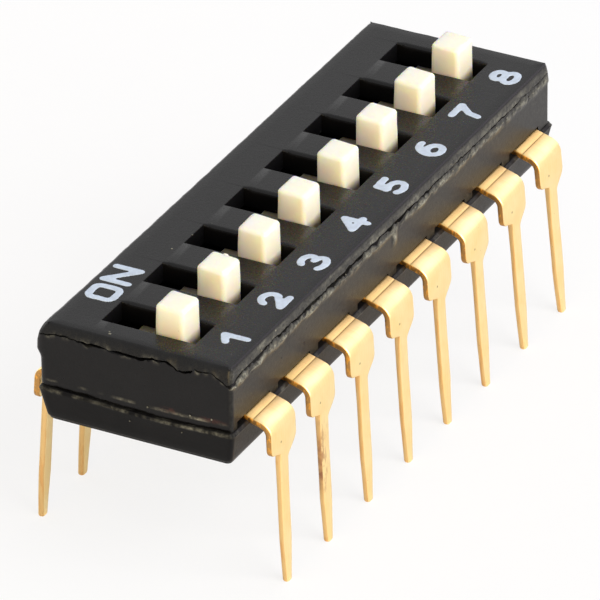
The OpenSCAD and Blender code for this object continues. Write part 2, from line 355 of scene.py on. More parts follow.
def make_piece(name, bm, materials, body, replaces=(), sharp=40):
    """Turns a finished mesh in millimetres into a piece of the part that rides on a body."""
    bmesh.ops.remove_doubles(bm, verts=bm.verts, dist=1e-4)
    bmesh.ops.recalc_face_normals(bm, faces=bm.faces)
    bmesh.ops.scale(bm, vec=(MM, MM, MM), verts=bm.verts)
    mesh = bpy.data.meshes.new(name)
    bm.to_mesh(mesh)
    bm.free()
    for material in materials:
        mesh.materials.append(material)
    mesh.shade_smooth()
    mesh.set_sharp_from_angle(angle=math.radians(sharp))
    piece = bpy.data.objects.new(name, mesh)
    bpy.context.scene.collection.objects.link(piece)
    weighted = piece.modifiers.new("Even normals", "WEIGHTED_NORMAL")
    weighted.keep_sharp = True
    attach(piece, body)
    if replaces:
        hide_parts(*replaces)


# ---------------------------------------------------------------- shader helpers

GROUPS = {}


class Nodes:
    """Adds nodes to one tree; each input is a socket to link or a plain value."""

    def __init__(self, tree):
        self.tree = tree

    def put(self, socket, value):
        if isinstance(value, bpy.types.NodeSocket):
            self.tree.links.new(value, socket)
        elif socket.type == "RGBA":
            socket.default_value = (*value, 1.0)
        else:
            socket.default_value = value

    def add(self, kind, inputs=None, **settings):
        node = self.tree.nodes.new(kind)
        for key, value in settings.items():
            setattr(node, key, value)
        for key, value in (inputs or {}).items():
            self.put(node.inputs[key], value)
        return node

    def maths(self, operation, a, b, clamp=False):
        return self.add("ShaderNodeMath", {0: a, 1: b}, operation=operation, use_clamp=clamp).outputs[0]

    def times(self, a, b, clamp=False):
        return self.maths("MULTIPLY", a, b, clamp)

    def plus(self, a, b):
        return self.maths("ADD", a, b)

    def most(self, a, b):
        return self.maths("MAXIMUM", a, b)

    def blend(self, share, a, b):
        """Mixes two colours by a share."""
        return self.add("ShaderNodeMix", {"Factor": share, 6: a, 7: b}, data_type="RGBA").outputs[2]

    def ranged(self, value, low, high, to_low=0.0, to_high=1.0):
        """Maps a value from one range to another and clamps it."""
        return self.add("ShaderNodeMapRange", {"Value": value, "From Min": low, "From Max": high,
                                               "To Min": to_low, "To Max": to_high}).outputs[0]

    def noise(self, place, scale, detail=3.0, rough=0.5):
        return self.add("ShaderNodeTexNoise", {"Vector": place, "Scale": scale, "Detail": detail,
                                               "Roughness": rough}).outputs[0]

    def axis(self, place, letter):
        return self.add("ShaderNodeSeparateXYZ", {0: place}).outputs[letter]

    def moved(self, operation, place, vector, output=0):
        return self.add("ShaderNodeVectorMath", {0: place, 1: vector}, operation=operation).outputs[output]

    def attribute(self, name, output="Fac"):
        return self.add("ShaderNodeAttribute", attribute_name=name).outputs[output]

    def bump(self, height, depth):
        """Normal from a height, with its full depth in millimetres."""
        return self.add("ShaderNodeBump", {"Height": height, "Distance": depth * MM, "Strength": 1.0}).outputs[0]

    def group(self, name, **inputs):
        """Places a shared group."""
        return self.add("ShaderNodeGroup", inputs, node_tree=GROUPS[name]).outputs


class Finish(Nodes):
    """A material that is being made, with the place on the piece in millimetres."""

    def __init__(self, name):
        self.material = bpy.data.materials.new(name)
        self.material.use_nodes = True
        super().__init__(self.material.node_tree)
        place = self.add("ShaderNodeTexCoord").outputs["Object"]
        self.place = self.add("ShaderNodeMapping", {"Vector": place, "Scale": (1 / MM,) * 3}).outputs[0]

    def done(self, **values):
        """Sets the shader's sockets and gives the material."""
        shader = self.tree.nodes["Principled BSDF"]
        for key, value in values.items():
            self.put(shader.inputs[key.replace("_", " ")], value)
        return self.material


def shade(colour, factor):
    return tuple(c * factor for c in colour)


def shared_group(name, inputs, outputs, build):
    """A shader node group; an input without a default is a vector, and build gives the outputs' values."""
    tree = bpy.data.node_groups.new(name, "ShaderNodeTree")
    for socket, default in inputs.items():
        kind = "NodeSocketVector" if default is None else "NodeSocketFloat"
        made = tree.interface.new_socket(socket, in_out="INPUT", socket_type=kind)
        if default is not None:
            made.default_value = default
    for socket in outputs:
        tree.interface.new_socket(socket, in_out="OUTPUT", socket_type="NodeSocketFloat")
    leave = tree.nodes.new("NodeGroupOutput").inputs
    values = build(Nodes(tree), tree.nodes.new("NodeGroupInput").outputs)
    for socket, value in zip(outputs, values):
        tree.links.new(value, leave[socket])
    return tree


def moulded(nodes, entry):
    """Cloudy tone, and fine grain as a surface height, of moulded plastic."""
    tone = nodes.noise(entry["Place"], entry["Cloud"], 4.0, 0.6)
    return nodes.ranged(tone, 0.3, 0.7), nodes.noise(entry["Place"], entry["Grain"], 5.0, 0.65)


def specks(nodes, entry):
    """Mask of sparse small specks, such as dust."""
    cell = nodes.add("ShaderNodeTexVoronoi", {"Vector": entry["Place"], "Scale": entry["Scale"]}).outputs
    inside = nodes.maths("LESS_THAN", cell["Distance"], entry["Radius"])
    pick = nodes.add("ShaderNodeSeparateColor", {"Color": cell["Color"]}).outputs[0]
    return [nodes.times(inside, nodes.maths("LESS_THAN", pick, entry["Share"]))]


def drawn(nodes, entry):
    """Mask of fine lines; the smaller a component of Stretch, the longer the lines are along it."""
    lines = nodes.noise(nodes.moved("MULTIPLY", entry["Place"], entry["Stretch"]), 1.0, 4.0, 0.6)
    return [nodes.ranged(lines, entry["Low"], entry["High"])]


def make_groups():
    """The effects that several materials share."""
    GROUPS["moulded"] = shared_group("moulded_grain", {"Place": None, "Cloud": 1.2, "Grain": 14.0},
                                     ("Tone", "Height"), moulded)
    GROUPS["specks"] = shared_group("specks", {"Place": None, "Scale": 4.0, "Radius": 0.1, "Share": 0.2},
                                    ("Mask",), specks)
    GROUPS["drawn"] = shared_group("drawn_lines", {"Place": None, "Stretch": None, "Low": 0.55, "High": 0.7},
                                   ("Mask",), drawn)


# ---------------------------------------------------------------- materials

DUST = (0.12, 0.12, 0.11)
MATERIALS = {}


def black_plastic(name, colours, roughness, gloss_level, seed=0.0):
    """Glossy black moulding with cloudy tone, fine grain, dust, rubbed flash with painted highlights on its lit
    lips, and residue.
    """
    colour, rubbed, residue = colours
    finish = Finish(name)
    place = finish.moved("ADD", finish.place, (seed, seed, seed))
    skin = finish.group("moulded", Place=place, Cloud=0.9, Grain=11.0)
    dust = finish.group("specks", Place=place, Scale=2.6, Radius=0.07, Share=0.16)["Mask"]
    broken = finish.noise(place, 7.0, 5.0, 0.75)
    # Wear and painted highlight: worn flash, and lit lips painted lighter
    worn = finish.times(finish.attribute("wear"), finish.ranged(broken, 0.42, 0.6, 0.2, 1.0), clamp=True)
    dirty = finish.times(finish.attribute("dirt"), finish.ranged(broken, 0.45, 0.55), clamp=True)
    tone = finish.blend(skin["Tone"], shade(colour, 0.75), shade(colour, 1.3))
    dusty = finish.blend(finish.times(dust, 0.3), tone, DUST)
    gloss = finish.ranged(skin["Height"], 0.3, 0.7, roughness - 0.04, roughness + 0.06)
    return finish.done(Base_Color=finish.blend(dirty, finish.blend(worn, dusty, rubbed), residue),
                       Roughness=finish.plus(gloss, finish.times(worn, 0.2)), Specular_IOR_Level=gloss_level,
                       Normal=finish.bump(finish.plus(skin["Height"], finish.times(broken, 0.6)), 0.004))


def cream_nylon(name, colours, top, foot, scatter):
    """Cream nylon with a painted warm shade that deepens from its top to its foot, and a painted shade inside the
    slot.
    """
    colour, deep, dark = colours
    finish = Finish(name)
    skin = finish.group("moulded", Place=finish.place, Cloud=1.6, Grain=9.0)
    specks = finish.group("specks", Place=finish.place, Scale=2.3, Radius=0.05, Share=0.3)["Mask"]
    height, cloud = finish.axis(finish.place, "Z"), finish.times(skin["Tone"], 0.1)
    # Painted warm shade that grows towards the foot
    low = finish.times(finish.ranged(height, foot, top, 1.0, 0.0), 0.5)
    # Painted shade inside the slot, below the cover's top
    inside = finish.ranged(finish.plus(height, cloud), foot + 0.25, foot + 0.62, 1.0, 0.0)
    tone = finish.blend(inside, finish.blend(finish.plus(low, cloud), colour, deep), dark)
    return finish.done(Base_Color=finish.blend(finish.times(specks, 0.2), tone, (0.45, 0.33, 0.16)),
                       Roughness=finish.ranged(skin["Height"], 0.3, 0.7, 0.4, 0.52), Specular_IOR_Level=0.35,
                       Subsurface_Weight=scatter, Subsurface_Scale=0.8 * MM, Subsurface_Radius=(1.0, 0.6, 0.06),
                       Normal=finish.bump(skin["Height"], 0.008))


def plated_gold(colour, deep, flat_tone, stain, roughness, tab_pit):
    """Soft gold plating, drawn along the strip, with tone patches, pits, a dent on the tab, a stain, a painted
    reflection tone on the flat above the bend and painted shade in the pressed line.
    """
    finish = Finish("gold_plating")
    strip = finish.attribute("strip", "Vector")
    lines = finish.group("drawn", Place=strip, Stretch=(14.0, 1.6, 6.0), Low=0.45, High=0.75)["Mask"]
    patches = finish.ranged(finish.noise(finish.place, 1.3), 0.35, 0.7)
    pits = finish.group("specks", Place=finish.place, Scale=3.3, Radius=0.055, Share=0.25)["Mask"]
    dent = finish.ranged(finish.moved("DISTANCE", strip, tab_pit, "Value"), 0.02, 0.05, 1.0, 0.0)
    streaks = finish.group("drawn", Place=strip, Stretch=(8.0, 1.7, 5.0), Low=0.46, High=0.6)["Mask"]
    stained = finish.times(finish.times(finish.attribute("tarnish"), streaks), 0.75)
    # Painted reflection tone on the flat above the bend
    flat = finish.ranged(finish.axis(strip, "Y"), -0.3, -0.08, 1.0, 0.0)
    plain = finish.blend(finish.plus(finish.times(patches, 0.35), finish.times(lines, 0.25)), colour, deep)
    tone = finish.blend(finish.times(flat, 0.7), plain, flat_tone)
    marks = finish.most(finish.times(pits, 0.35), finish.times(dent, 0.75))
    # Painted shade darkens the pressed line beside the bend
    marks = finish.most(marks, finish.times(finish.attribute("scored"), 0.4))
    gloss = finish.ranged(finish.plus(lines, patches), 0.0, 2.0, roughness, roughness + 0.14)
    relief = finish.maths("SUBTRACT", finish.times(lines, 0.07), dent)
    return finish.done(Base_Color=finish.blend(stained, finish.blend(marks, tone, shade(deep, 0.3)), stain),
                       Metallic=1.0, Roughness=finish.maths("SUBTRACT", gloss, finish.times(flat, 0.03)),
                       Normal=finish.bump(relief, 0.01))


def plated(name, colour, other, stain, roughness, stretch, depth, fades=None):
    """Bare or thinly plated metal, streaked between two tones; the streaks may fade along the strip."""
    finish = Finish(name)
    lines = finish.group("drawn", Place=finish.place, Stretch=stretch, Low=0.5, High=0.62)["Mask"]
    pits = finish.group("specks", Place=finish.place, Scale=3.7, Radius=0.06, Share=0.35)["Mask"]
    share = lines
    if fades:
        along = finish.axis(finish.attribute("strip", "Vector"), "Y")
        share = finish.times(lines, finish.ranged(along, *fades, 1.0, 0.12))
    patches = finish.ranged(finish.noise(finish.place, 2.0), 0.4, 0.6, 0.3, 0.9)
    stained = finish.times(finish.attribute("tarnish"), patches)
    tone = finish.blend(stained, finish.blend(share, colour, other), stain)
    return finish.done(Base_Color=finish.blend(finish.times(pits, 0.4), tone, shade(colour, 0.3)),
                       Metallic=1.0, Roughness=finish.ranged(lines, 0.0, 1.0, roughness, roughness + 0.1),
                       Normal=finish.bump(lines, depth))


def printed_ink(colour):
    """Pad-printed ink with thin patches and a slightly uneven film."""
    finish = Finish("printed_ink")
    skin = finish.group("moulded", Place=finish.place, Cloud=5.0, Grain=16.0)
    return finish.done(Base_Color=finish.blend(finish.times(skin["Tone"], 0.6), colour, shade(colour, 0.66)),
                       Roughness=finish.ranged(skin["Height"], 0.3, 0.7, 0.45, 0.6),
                       Normal=finish.bump(skin["Height"], 0.004))


def make_materials(housing, sliders, leads, ink):
    """Builds the shared groups and every finish once."""
    make_groups()
    plastic = housing.plastic, housing.rubbed, housing.residue
    nylon = (sliders.cream, sliders.tan, sliders.foot), node_box("slider_1")[1].z, node_box("cover")[0].z
    MATERIALS.update(
        cover=black_plastic("cover_plastic", plastic, 0.27, 0.24),
        case=black_plastic("case_plastic", plastic, 0.3, 0.22, 3.7),
        base=black_plastic("base_plastic", plastic, 0.33, 0.105, 9.1),
        inside=black_plastic("inside_plastic", plastic, 0.45, 0.07, 5.3),
        knob=cream_nylon("cream_nylon", *nylon, 0.8),
        burr=cream_nylon("nylon_burr", *nylon, 0.0),
        gold=plated_gold(leads.gold, leads.deep_gold, leads.flat_gold, leads.streak, 0.33,
                         (-0.2, leads.tab_drop - 0.3, 0.0)),
        sheared=plated("sheared_edge", leads.sheared, leads.spots, leads.stain, 0.36, (9.0, 9.0, 5.0), 0.004,
                       (0.1, 0.7)),
        flank=plated("lead_flank", leads.flank, leads.deep_flank, leads.stain, 0.38, (9.0, 9.0, 0.9), 0.003),
        brass=plated("contact_strip", leads.brass, leads.deep_brass, leads.stain, 0.3, (2.0, 12.0, 12.0), 0.002),
        ink=printed_ink(ink))


# ---------------------------------------------------------------- housing

# Rise of the crack above the seam along the near end, from the digit side to the ON side
END_CRACK = ((-3.1, -0.16), (-2.94, -0.14), (-2.6, 0.04), (-2.42, 0.12), (-2.1, 0.08), (-1.9, 0.1),
             (-1.6, -0.03), (-1.34, -0.06), (-1.15, 0.1), (-0.95, 0.17), (-0.75, 0.1), (-0.5, 0.13),
             (-0.06, 0.04), (0.53, 0.08), (0.9, 0.03), (1.3, 0.08), (1.92, 0.05), (2.3, 0.1), (2.68, 0.09),
             (2.9, 0.02), (3.1, -0.03))
# How far the ON wall flares out below the cover's top, at the near end
FLARE = ((-2.3, 0.5), (-1.2, 0.5), (-1.1, 0.6), (-0.92, 1.0), (-0.6, 0.95), (-0.34, 0.72), (0.0, 0.36))
# How wide the crack opens along the digit side and across the near end
OPENING = ((-10.5, 0.9), (-8.0, 1.3), (-1.0, 1.3), (2.0, 0.7), (10.5, 0.3))
END_OPENING = ((-3.1, 0.4), (-2.2, 0.5), (-1.5, 0.8), (-0.6, 1.0), (1.5, 0.9), (3.1, 0.6))
# Strength of the flash along the digit side
RIDGE = ((-10.5, 1.2), (-9.0, 1.1), (-8.2, 0.6), (-6.3, 0.6), (-5.8, 1.1), (-4.9, 1.0), (-4.2, 0.6),
         (0.0, 0.5), (3.0, 0.7), (10.5, 0.5))
# Strength of the wear and painted highlight along the lip of the base at the near end
LIP_WEAR = ((-3.2, 0.9), (0.4, 0.9), (0.9, 0.3), (3.2, 0.6))
# Rows of the mesh round a slot's mouth, as shares of its small and its large rounding
LIP_ROW = 0.35
MOUTH_ROWS = (0.05, 0.18, 0.42, 0.7, 1.0)
# Rows of the mesh inside the ends of a slot, above the welded seam and above the parting line
SLOT_END_ROWS = (0.0, 0.08, 0.16, 0.3)
SEAM_ROWS = (0.03, 0.08, 0.16, 0.22)
RIM_ROWS = (0.025, 0.06, 0.11, 0.18, 0.225, 0.255, 0.3, 0.38)


def seam_rise(x, y, half_x):
    """How far the crack stands above the nominal seam at a place on the wall."""
    torn = abs(ripple(x, y, 0.3, 1))
    rough = 0.08 * torn - 0.02 + 0.035 * ripple(x, y, 0.11, 2)
    end = ramp(abs(x), half_x - 0.5, half_x)
    across = between(END_CRACK, y if x < 0 else -y * 0.9)
    return end * across + (1 - end) * (0.02 + 0.03 * ripple(x, y, 1.7, 3)) + rough


def seam_gap(x, y, mean):
    """Opening of the crack at a place on the wall."""
    share = between(OPENING, x) if y < -3 else between(END_OPENING, y) if x < -10 else 1
    return mean * share * max(0.1, 1 + 1.2 * ripple(x, y, 0.5, 4) + 0.9 * ripple(x, y, 0.12, 5))


def parting_sag(x, y, half_x, sag):
    """How far the parting line hangs below its level in the middle of the near end."""
    return sag * ramp(-x, half_x - 0.2, half_x) * bump_at(y, -0.6, 2.6)


def flare_out(x, height, half_x, most):
    """How far the ON wall stands out at a height below the cover's top."""
    along = between(((-half_x, 1.0), (-half_x + 2.5, 0.62), (0, 0.4), (half_x, 0.3)), x)
    lump = 1 + 0.25 * ripple(x, height, 0.6, 10) * ramp(x, -half_x, -half_x + 1)
    return most * between(FLARE, height) * along * lump


def position_lines(width, shift=0.0):
    """Both edges of a strip of some width at each position."""
    return [pos_x(i) + shift + side * width / 2 for i in range(1, POSITIONS + 1) for side in (-1, 1)]


def over_position(x, width, shift=0.0):
    return any(abs(x - shift - pos_x(i)) < width / 2 for i in range(1, POSITIONS + 1))


def upright_corners(bm, half_x, half_y):
    """The upright edges at a block's four corners."""
    return [e for e in bm.edges if all(abs(v.co.x) > half_x - TINY and abs(v.co.y) > half_y - TINY
                                       for v in e.verts)]


def wall_columns(bm, half_x, half_y, spacing):
    """Scores the walls with upright planes."""
    cut(bm, 0, steps(-half_x, half_x, spacing), lambda c: abs(c.y) > half_y - 0.05)
    cut(bm, 1, steps(-half_y, half_y, spacing), lambda c: abs(c.x) > half_x - 0.05)


def mouth_drop(x, y, slot, radius, lip):
    """How far the cover's top has fallen beside a slot, given as its four limits."""
    left, right, near, far = slot
    fade = ramp(min(y - near, far - y), 0, 0.3)
    side = max(x - right, left - x, 0)
    end = max(near - y, y - far, 0)
    edge = lip + (radius - lip) * fade * fade * (3 - 2 * fade) if x > left + 0.1 and end == 0 else lip
    away = math.hypot(side, end)
    return edge - math.sqrt(edge ** 2 - (edge - away) ** 2) if away < edge else 0.0


def mark_inside(bm, below):
    """Gives the walls of the slots and wells their own dull finish."""
    high = node_box("cover")[1]
    for f in faces_where(bm, lambda c: c.z < below and abs(c.x) < high.x - 0.3 and abs(c.y) < high.y - 0.3):
        f.material_index = 1


def cover_block(slots, sizes):
    """The cover before its rim is torn: a plate with slots, and a rim that stands on the land."""
    low, high = node_box("cover")
    seam = node_box("case")[1].z
    near, far = slots[0][2:]
    land, width, radius, lip = sizes.land, sizes.slot_width, sizes.mouth_radius, sizes.mouth_edge
    x_lines, y_lines = ([low[k], low[k] + land, high[k] - land, high[k]] for k in (0, 1))
    for left, right, _, _ in slots:
        x_lines += [left - lip, left - lip * LIP_ROW, left, right, *(right + radius * row for row in MOUTH_ROWS)]
    y_lines += [near - lip, near - lip * LIP_ROW, far + lip * LIP_ROW, far + lip]
    y_lines += [end + inward * row for end, inward in ((near, 1), (far, -1)) for row in SLOT_END_ROWS]
    bm = ruled_sheet(sorted(x_lines), sorted(y_lines), seam)
    open_faces = faces_where(bm, lambda c: near < c.y < far and over_position(c.x, width))
    bmesh.ops.delete(bm, geom=open_faces, context="FACES")
    extrude(bm, bm.faces[:], high.z - seam, keep=True)
    on_land = near_wall(high, land)
    extrude(bm, faces_where(bm, lambda c: c.z < seam + TINY and not on_land(c)), low.z - seam)
    bmesh.ops.recalc_face_normals(bm, faces=bm.faces)
    round_edges(bm, upright_corners(bm, high.x, high.y), sizes.corner, 3)
    outer = near_wall(high, 0.1)
    rim = [e for e in bm.edges if e.calc_face_angle(0) > 1
           and all(v.co.z > high.z - TINY for v in e.verts) and any(outer(v.co) for v in e.verts)]
    round_edges(bm, rim, sizes.edge, 4)
    wall_columns(bm, high.x, high.y, sizes.grid)
    cut(bm, 2, [seam + row for row in SEAM_ROWS], outer)
    return bm


def build_cover(sizes):
    """Slotted top plate whose rim ends in an uneven welded seam."""
    high = node_box("cover")[1]
    seam = node_box("case")[1].z
    half = sizes.slot_width / 2
    near, far = (sizes.slot_shift + side * sizes.slot_length / 2 for side in (-1, 1))
    slots = [(pos_x(i) - half, pos_x(i) + half, near, far) for i in range(1, POSITIONS + 1)]
    bm = cover_block(slots, sizes)
    wear = bm.verts.layers.float.new("wear")
    on_rim = near_wall(high, sizes.edge + 0.01)
    for v in bm.verts:
        x, y, z = v.co
        if not on_rim(v.co) or z < seam - TINY:
            if z > high.z - TINY:
                v.co.z -= max(mouth_drop(x, y, slot, sizes.mouth_radius, sizes.mouth_edge) for slot in slots)
            continue
        share = ramp(high.z - z, 0, high.z - seam)
        digit, on_side = at_side(-y, high.y), ramp(y, high.y - 0.2, high.y - 0.05)
        near_end = ramp(-x, high.x - 0.2, high.x - 0.05)
        v.co.z += seam_rise(x, y, high.x) * share
        inward = sizes.rim_draw * (1 - share) + 0.015 * max(0, ripple(x, y, 0.6, 6)) * share
        v.co.x *= 1 - (inward + sizes.end_draw * near_end * (1 - share) ** 2) / high.x
        v.co.y *= 1 - (inward + sizes.on_draw * on_side * (1 - share) ** 2) / high.y
        v.co.y += flare_out(x, z - high.z, high.x, sizes.flare) * ramp(y, high.y - 0.35, high.y)
        streak = max(0, ripple(x, z * 6, 0.9, 13)) * 0.8 + 0.15
        torn = (0.5 + 0.7 * bump_at(y, -1.75, 0.7)) * max(0, ripple(x, y, 0.2, 14))
        # Wear on the streaked flash of the digit side; elsewhere painted highlights on the torn lips of the seam
        v[wear] = digit * streak * ramp(share, 0.1, 0.4) + (1 - digit) * ramp(share, 0, 0.3) * (
            0.02 + ramp(share, 0.6, 1) * torn)
    mark_inside(bm, high.z - 0.06)
    return bm


def case_swell(x, y, z, seam, half_y, sizes):
    """How far the case's digit side stands out where weld flash was squeezed down it."""
    lump = 0.6 + 0.8 * ripple(x, y, 0.5, 7) + 0.6 * ripple(x, z * 2, 0.16, 8)
    top = seam - 0.19 - 0.05 * ripple(x, y, 0.9, 9)
    ridge = bump_at(z, top, 0.2) * sizes.flash * between(RIDGE, x) * max(lump, 0)
    drip = sizes.drip * bump_at(x, -0.05, 0.22) * bump_at(z, seam - 0.45, 0.42)
    return at_side(-y, half_y) * (ridge + drip)


def case_block(sizes, sliders, leads):
    """The case before its seam is torn: walls, ribs, open cells, and notches for the leads."""
    low, high = node_box("cover")
    seam, floor = node_box("case")[1].z, node_box("base")[1].z
    lead_low, lead_high = node_box("terminal_1")
    plate_low, plate_high = node_box("slider_1")
    rim = floor - leads.thickness
    seat = low.z - sliders.roof_clear - sliders.plate
    cell = pos_x(2) - pos_x(1) - sizes.rib
    well = high.y - sizes.wall
    guide_low = plate_low.y - sliders.stop_clear
    guide_high = plate_high.y + sliders.travel + sliders.stop_clear
    notch, aside = lead_high.x - lead_low.x + sizes.notch_play, sizes.notch_shift - sizes.notch_play / 2
    lines_x = sorted([low.x, *position_lines(cell), high.x])
    bm = ruled_sheet(lines_x, [low.y, -well, guide_low, guide_high, well, high.y], seat)
    holes = faces_where(bm, lambda c: guide_low < c.y < guide_high and over_position(c.x, cell))
    bmesh.ops.delete(bm, geom=holes, context="FACES")
    extrude(bm, bm.faces[:], seam - seat, keep=True)
    lower = faces_where(bm, lambda c: c.z < seat + TINY and not (abs(c.y) < well and over_position(c.x, cell)))
    extrude(bm, lower, rim - seat)
    bmesh.ops.recalc_face_normals(bm, faces=bm.faces)
    round_edges(bm, upright_corners(bm, high.x, high.y), sizes.corner, 3)
    cut(bm, 0, position_lines(notch, aside), lambda c: abs(c.y) > well - 0.05 and c.z < seat + 0.01)
    roof = faces_where(bm, lambda c: c.z < rim + TINY and abs(c.y) > well and over_position(c.x, notch, aside))
    top = floor + 0.02
    extrude(bm, roof, top - rim)
    cut(bm, 2, [top], lambda c: abs(c.y) > high.y - 1e-3)
    bmesh.ops.remove_doubles(bm, verts=bm.verts, dist=1e-5)
    mouths = faces_where(bm, lambda c: abs(c.y) > high.y - 1e-3 and c.z < top and over_position(c.x, notch, aside))
    bmesh.ops.delete(bm, geom=mouths, context="FACES")
    wall_columns(bm, high.x, high.y, sizes.grid)
    levels = [rim + row for row in RIM_ROWS]
    cut(bm, 2, [*levels, *steps(levels[-1], seam - 0.9, 0.2), *steps(seam - 0.9, seam, 0.05)], near_wall(high, 0.1))
    return bm


def build_case(sizes, sliders, leads):
    """Walls and ribs; the cells go right through and the leads leave by notches in the long walls."""
    bm = case_block(sizes, sliders, leads)
    high = node_box("cover")[1]
    seam = node_box("case")[1].z
    rim = node_box("base")[1].z - leads.thickness
    outer = near_wall(high, 0.08)
    wear, dirt = (bm.verts.layers.float.new(name) for name in ("wear", "dirt"))
    for v in bm.verts:
        x, y, z = v.co
        if not outer(v.co):
            continue
        rise, digit = z - rim, at_side(-y, high.y)
        swell = case_swell(x, y, z, seam, high.y, sizes)
        torn = 0.7 + 0.6 * ripple(x, y, 0.4, 15) + 0.5 * ripple(x, y, 0.13, 16)
        groove = sizes.groove * (ramp(-rise, -0.015 - 0.03 * max(torn, 0), -0.01) + ramp(-rise, -0.2, 0) / 2
                                 ) * max(torn, 0.1)
        burr = bump_at(rise, 0.235, 0.045) * max(0, ripple(x, y, 0.45, 17) + 0.15) * (1 - digit)
        lips = bump_at(z, seam, 0.12) * max(0, ripple(x, y, 0.2, 18)) * (1 - digit)
        gap = seam_rise(x, y, high.x) - seam_gap(x, y, sizes.crack)
        v.co.z += ramp(z, seam - 0.3, seam) * gap
        v.co.z -= (parting_sag(x, y, high.x, sizes.sag) + 0.02 * ripple(x, y, 0.2, 27)) * ramp(-rise, -0.4, 0)
        out = swell + 0.022 * burr + 0.03 * lips + 0.003 * ripple(x + z, y, 0.9, 12) - groove * (1 - digit)
        v.co += outward(x, y, high.x, high.y, sizes.corner) * out
        v.co.y += flare_out(x, z - high.z, high.x, sizes.flare) * ramp(y, high.y - 0.35, high.y)
        # Worn weld flash on the digit side; the burr and the lips by the seam get painted highlights on top of their
        # real bumps
        v[wear] = min(1, digit * (0.05 + max(0, swell - 0.006) * 26) + 1.1 * burr + 1.1 * lips)
        if x < 0.1 - high.x:
            v[dirt] = 0.8 * max(bump_at(y, -1.05, 0.4), bump_at(y, -2.5, 0.6)) * bump_at(rise, 0.27, 0.1)
    mark_inside(bm, seam + 1)
    return bm


def base_block(rim, sizes):
    """The base before it is drafted: a block with a deck, and beds in it for the leads."""
    low, high = node_box("base")
    lead_low, lead_high = node_box("terminal_1")
    bed = lead_high.x - lead_low.x + 0.02
    well = node_box("cover")[1].y - sizes.wall
    pads = [side * (sizes.slot_shift + sizes.foot_reach) + end * sizes.pad_gap / 2
            for side in (-1, 1) for end in (-1, 1)]
    deck = pos_x(POSITIONS) + (pos_x(2) - pos_x(1) - sizes.rib) / 2
    bm = ruled_sheet([low.x, -deck, *position_lines(bed), deck, high.x],
                     [low.y, -well, *pads, well, high.y], rim)
    extrude(bm, bm.faces[:], low.z - rim, keep=True)

    def raised(c):
        between_pads = pads[0] < c.y < pads[1] or pads[2] < c.y < pads[3]
        return c.z > rim - TINY and abs(c.x) < deck and abs(c.y) < well and (
            between_pads or not over_position(c.x, bed))
    extrude(bm, faces_where(bm, raised), high.z - rim)
    bmesh.ops.recalc_face_normals(bm, faces=bm.faces)
    round_edges(bm, upright_corners(bm, high.x, high.y), sizes.base_corner, 5)
    wall_columns(bm, high.x, high.y, sizes.grid)
    lip, crown = sizes.lip, rim - 0.25
    cut(bm, 2, [low.z + 0.03, low.z + lip * 0.6, low.z + lip, *steps(low.z + lip, crown, 0.2), crown,
                crown + 0.05, crown + 0.1, *(rim - lip * share for share in (1, 0.75, 0.5, 0.25))],
        near_wall(high, 0.12))
    return bm


def build_base(sizes, leads):
    """Drafted base with the deck that carries the leads between its beds."""
    low, high = node_box("base")
    rim, lip = high.z - leads.thickness, sizes.lip
    bm = base_block(rim, sizes)
    wear = bm.verts.layers.float.new("wear")
    outer = near_wall(high, sizes.base_corner)
    for v in bm.verts:
        if v.co.z < low.z + TINY:
            v.co.z -= sizes.under
        x, y, z = v.co
        if not outer(v.co) or z > rim + TINY:
            continue
        fall, foot = ramp(rim - lip - z, 0, rim - lip - low.z), ramp(lip - z + low.z, 0, lip)
        jagged = 0.35 + ripple(x, y, 0.4, 19) + 0.5 * ripple(x, y, 0.12, 20)
        crest = bump_at(z, rim - lip * 0.8, 0.09) * max(0, jagged)
        nick = 0.02 * max(0, ripple(x, y, 0.35, 21)) + 0.015 * max(0, ripple(x, y, 0.12, 22))
        on_side = ramp(y, high.y - 0.15, high.y - 0.05)
        chamfer = (lip * 0.4 * (1 + 1.4 * at_side(-y, high.y)) + nick) * ramp(z, rim - lip, rim)
        inward = sizes.foot_draw * foot * foot + chamfer
        v.co.x *= 1 - (sizes.draft * fall + inward) / high.x
        v.co.y *= 1 - (sizes.draft * fall * (1 - 0.5 * on_side) + inward
                       - sizes.on_out * on_side * (1 - fall)) / high.y
        v.co.z -= parting_sag(x, y, high.x, sizes.sag) * ramp((z - low.z) / (rim - low.z), 0.5, 1)
        v.co += outward(x, y, high.x, high.y, sizes.base_corner) * (
            0.014 * crest + 0.004 * ripple(x, y + z, 0.8, 23))
        # The lip's crest gets a painted highlight along with its real bump
        v[wear] = min(1, (between(LIP_WEAR, y) if x < -high.x + 0.2 else 0.35) * crest)
    mark_inside(bm, high.z + 1)
    for f in faces_where(bm, lambda c: c.z < rim - 0.1):
        f.material_index = 0
    return bm


# Places and sizes of the loose crumbs and dust: (x, y, z, radius)
CRUMBS = ((-10.1, 1.05, 7.7, 0.045), (-10.0, 1.12, 7.7, 0.03), (-4.9, 1.8, 7.7, 0.03), (-3.9, 1.65, 7.7, 0.028),
          (-10.47, -0.35, 5.79, 0.03), (-10.52, 0.22, 5.2, 0.022), (-10.52, -1.5, 5.27, 0.02),
          (-10.47, -1.75, 5.88, 0.03), (-10.46, -2.45, 5.93, 0.028), (-8.6, -3.12, 7.45, 0.035),
          (-7.7, -3.12, 7.65, 0.03), (-7.3, -3.11, 6.5, 0.022))
SEAM_CRUMBS = 46
# Share of the wall between one seam crumb and the next, which spreads them evenly in any order
CRUMB_STEP = 0.618034


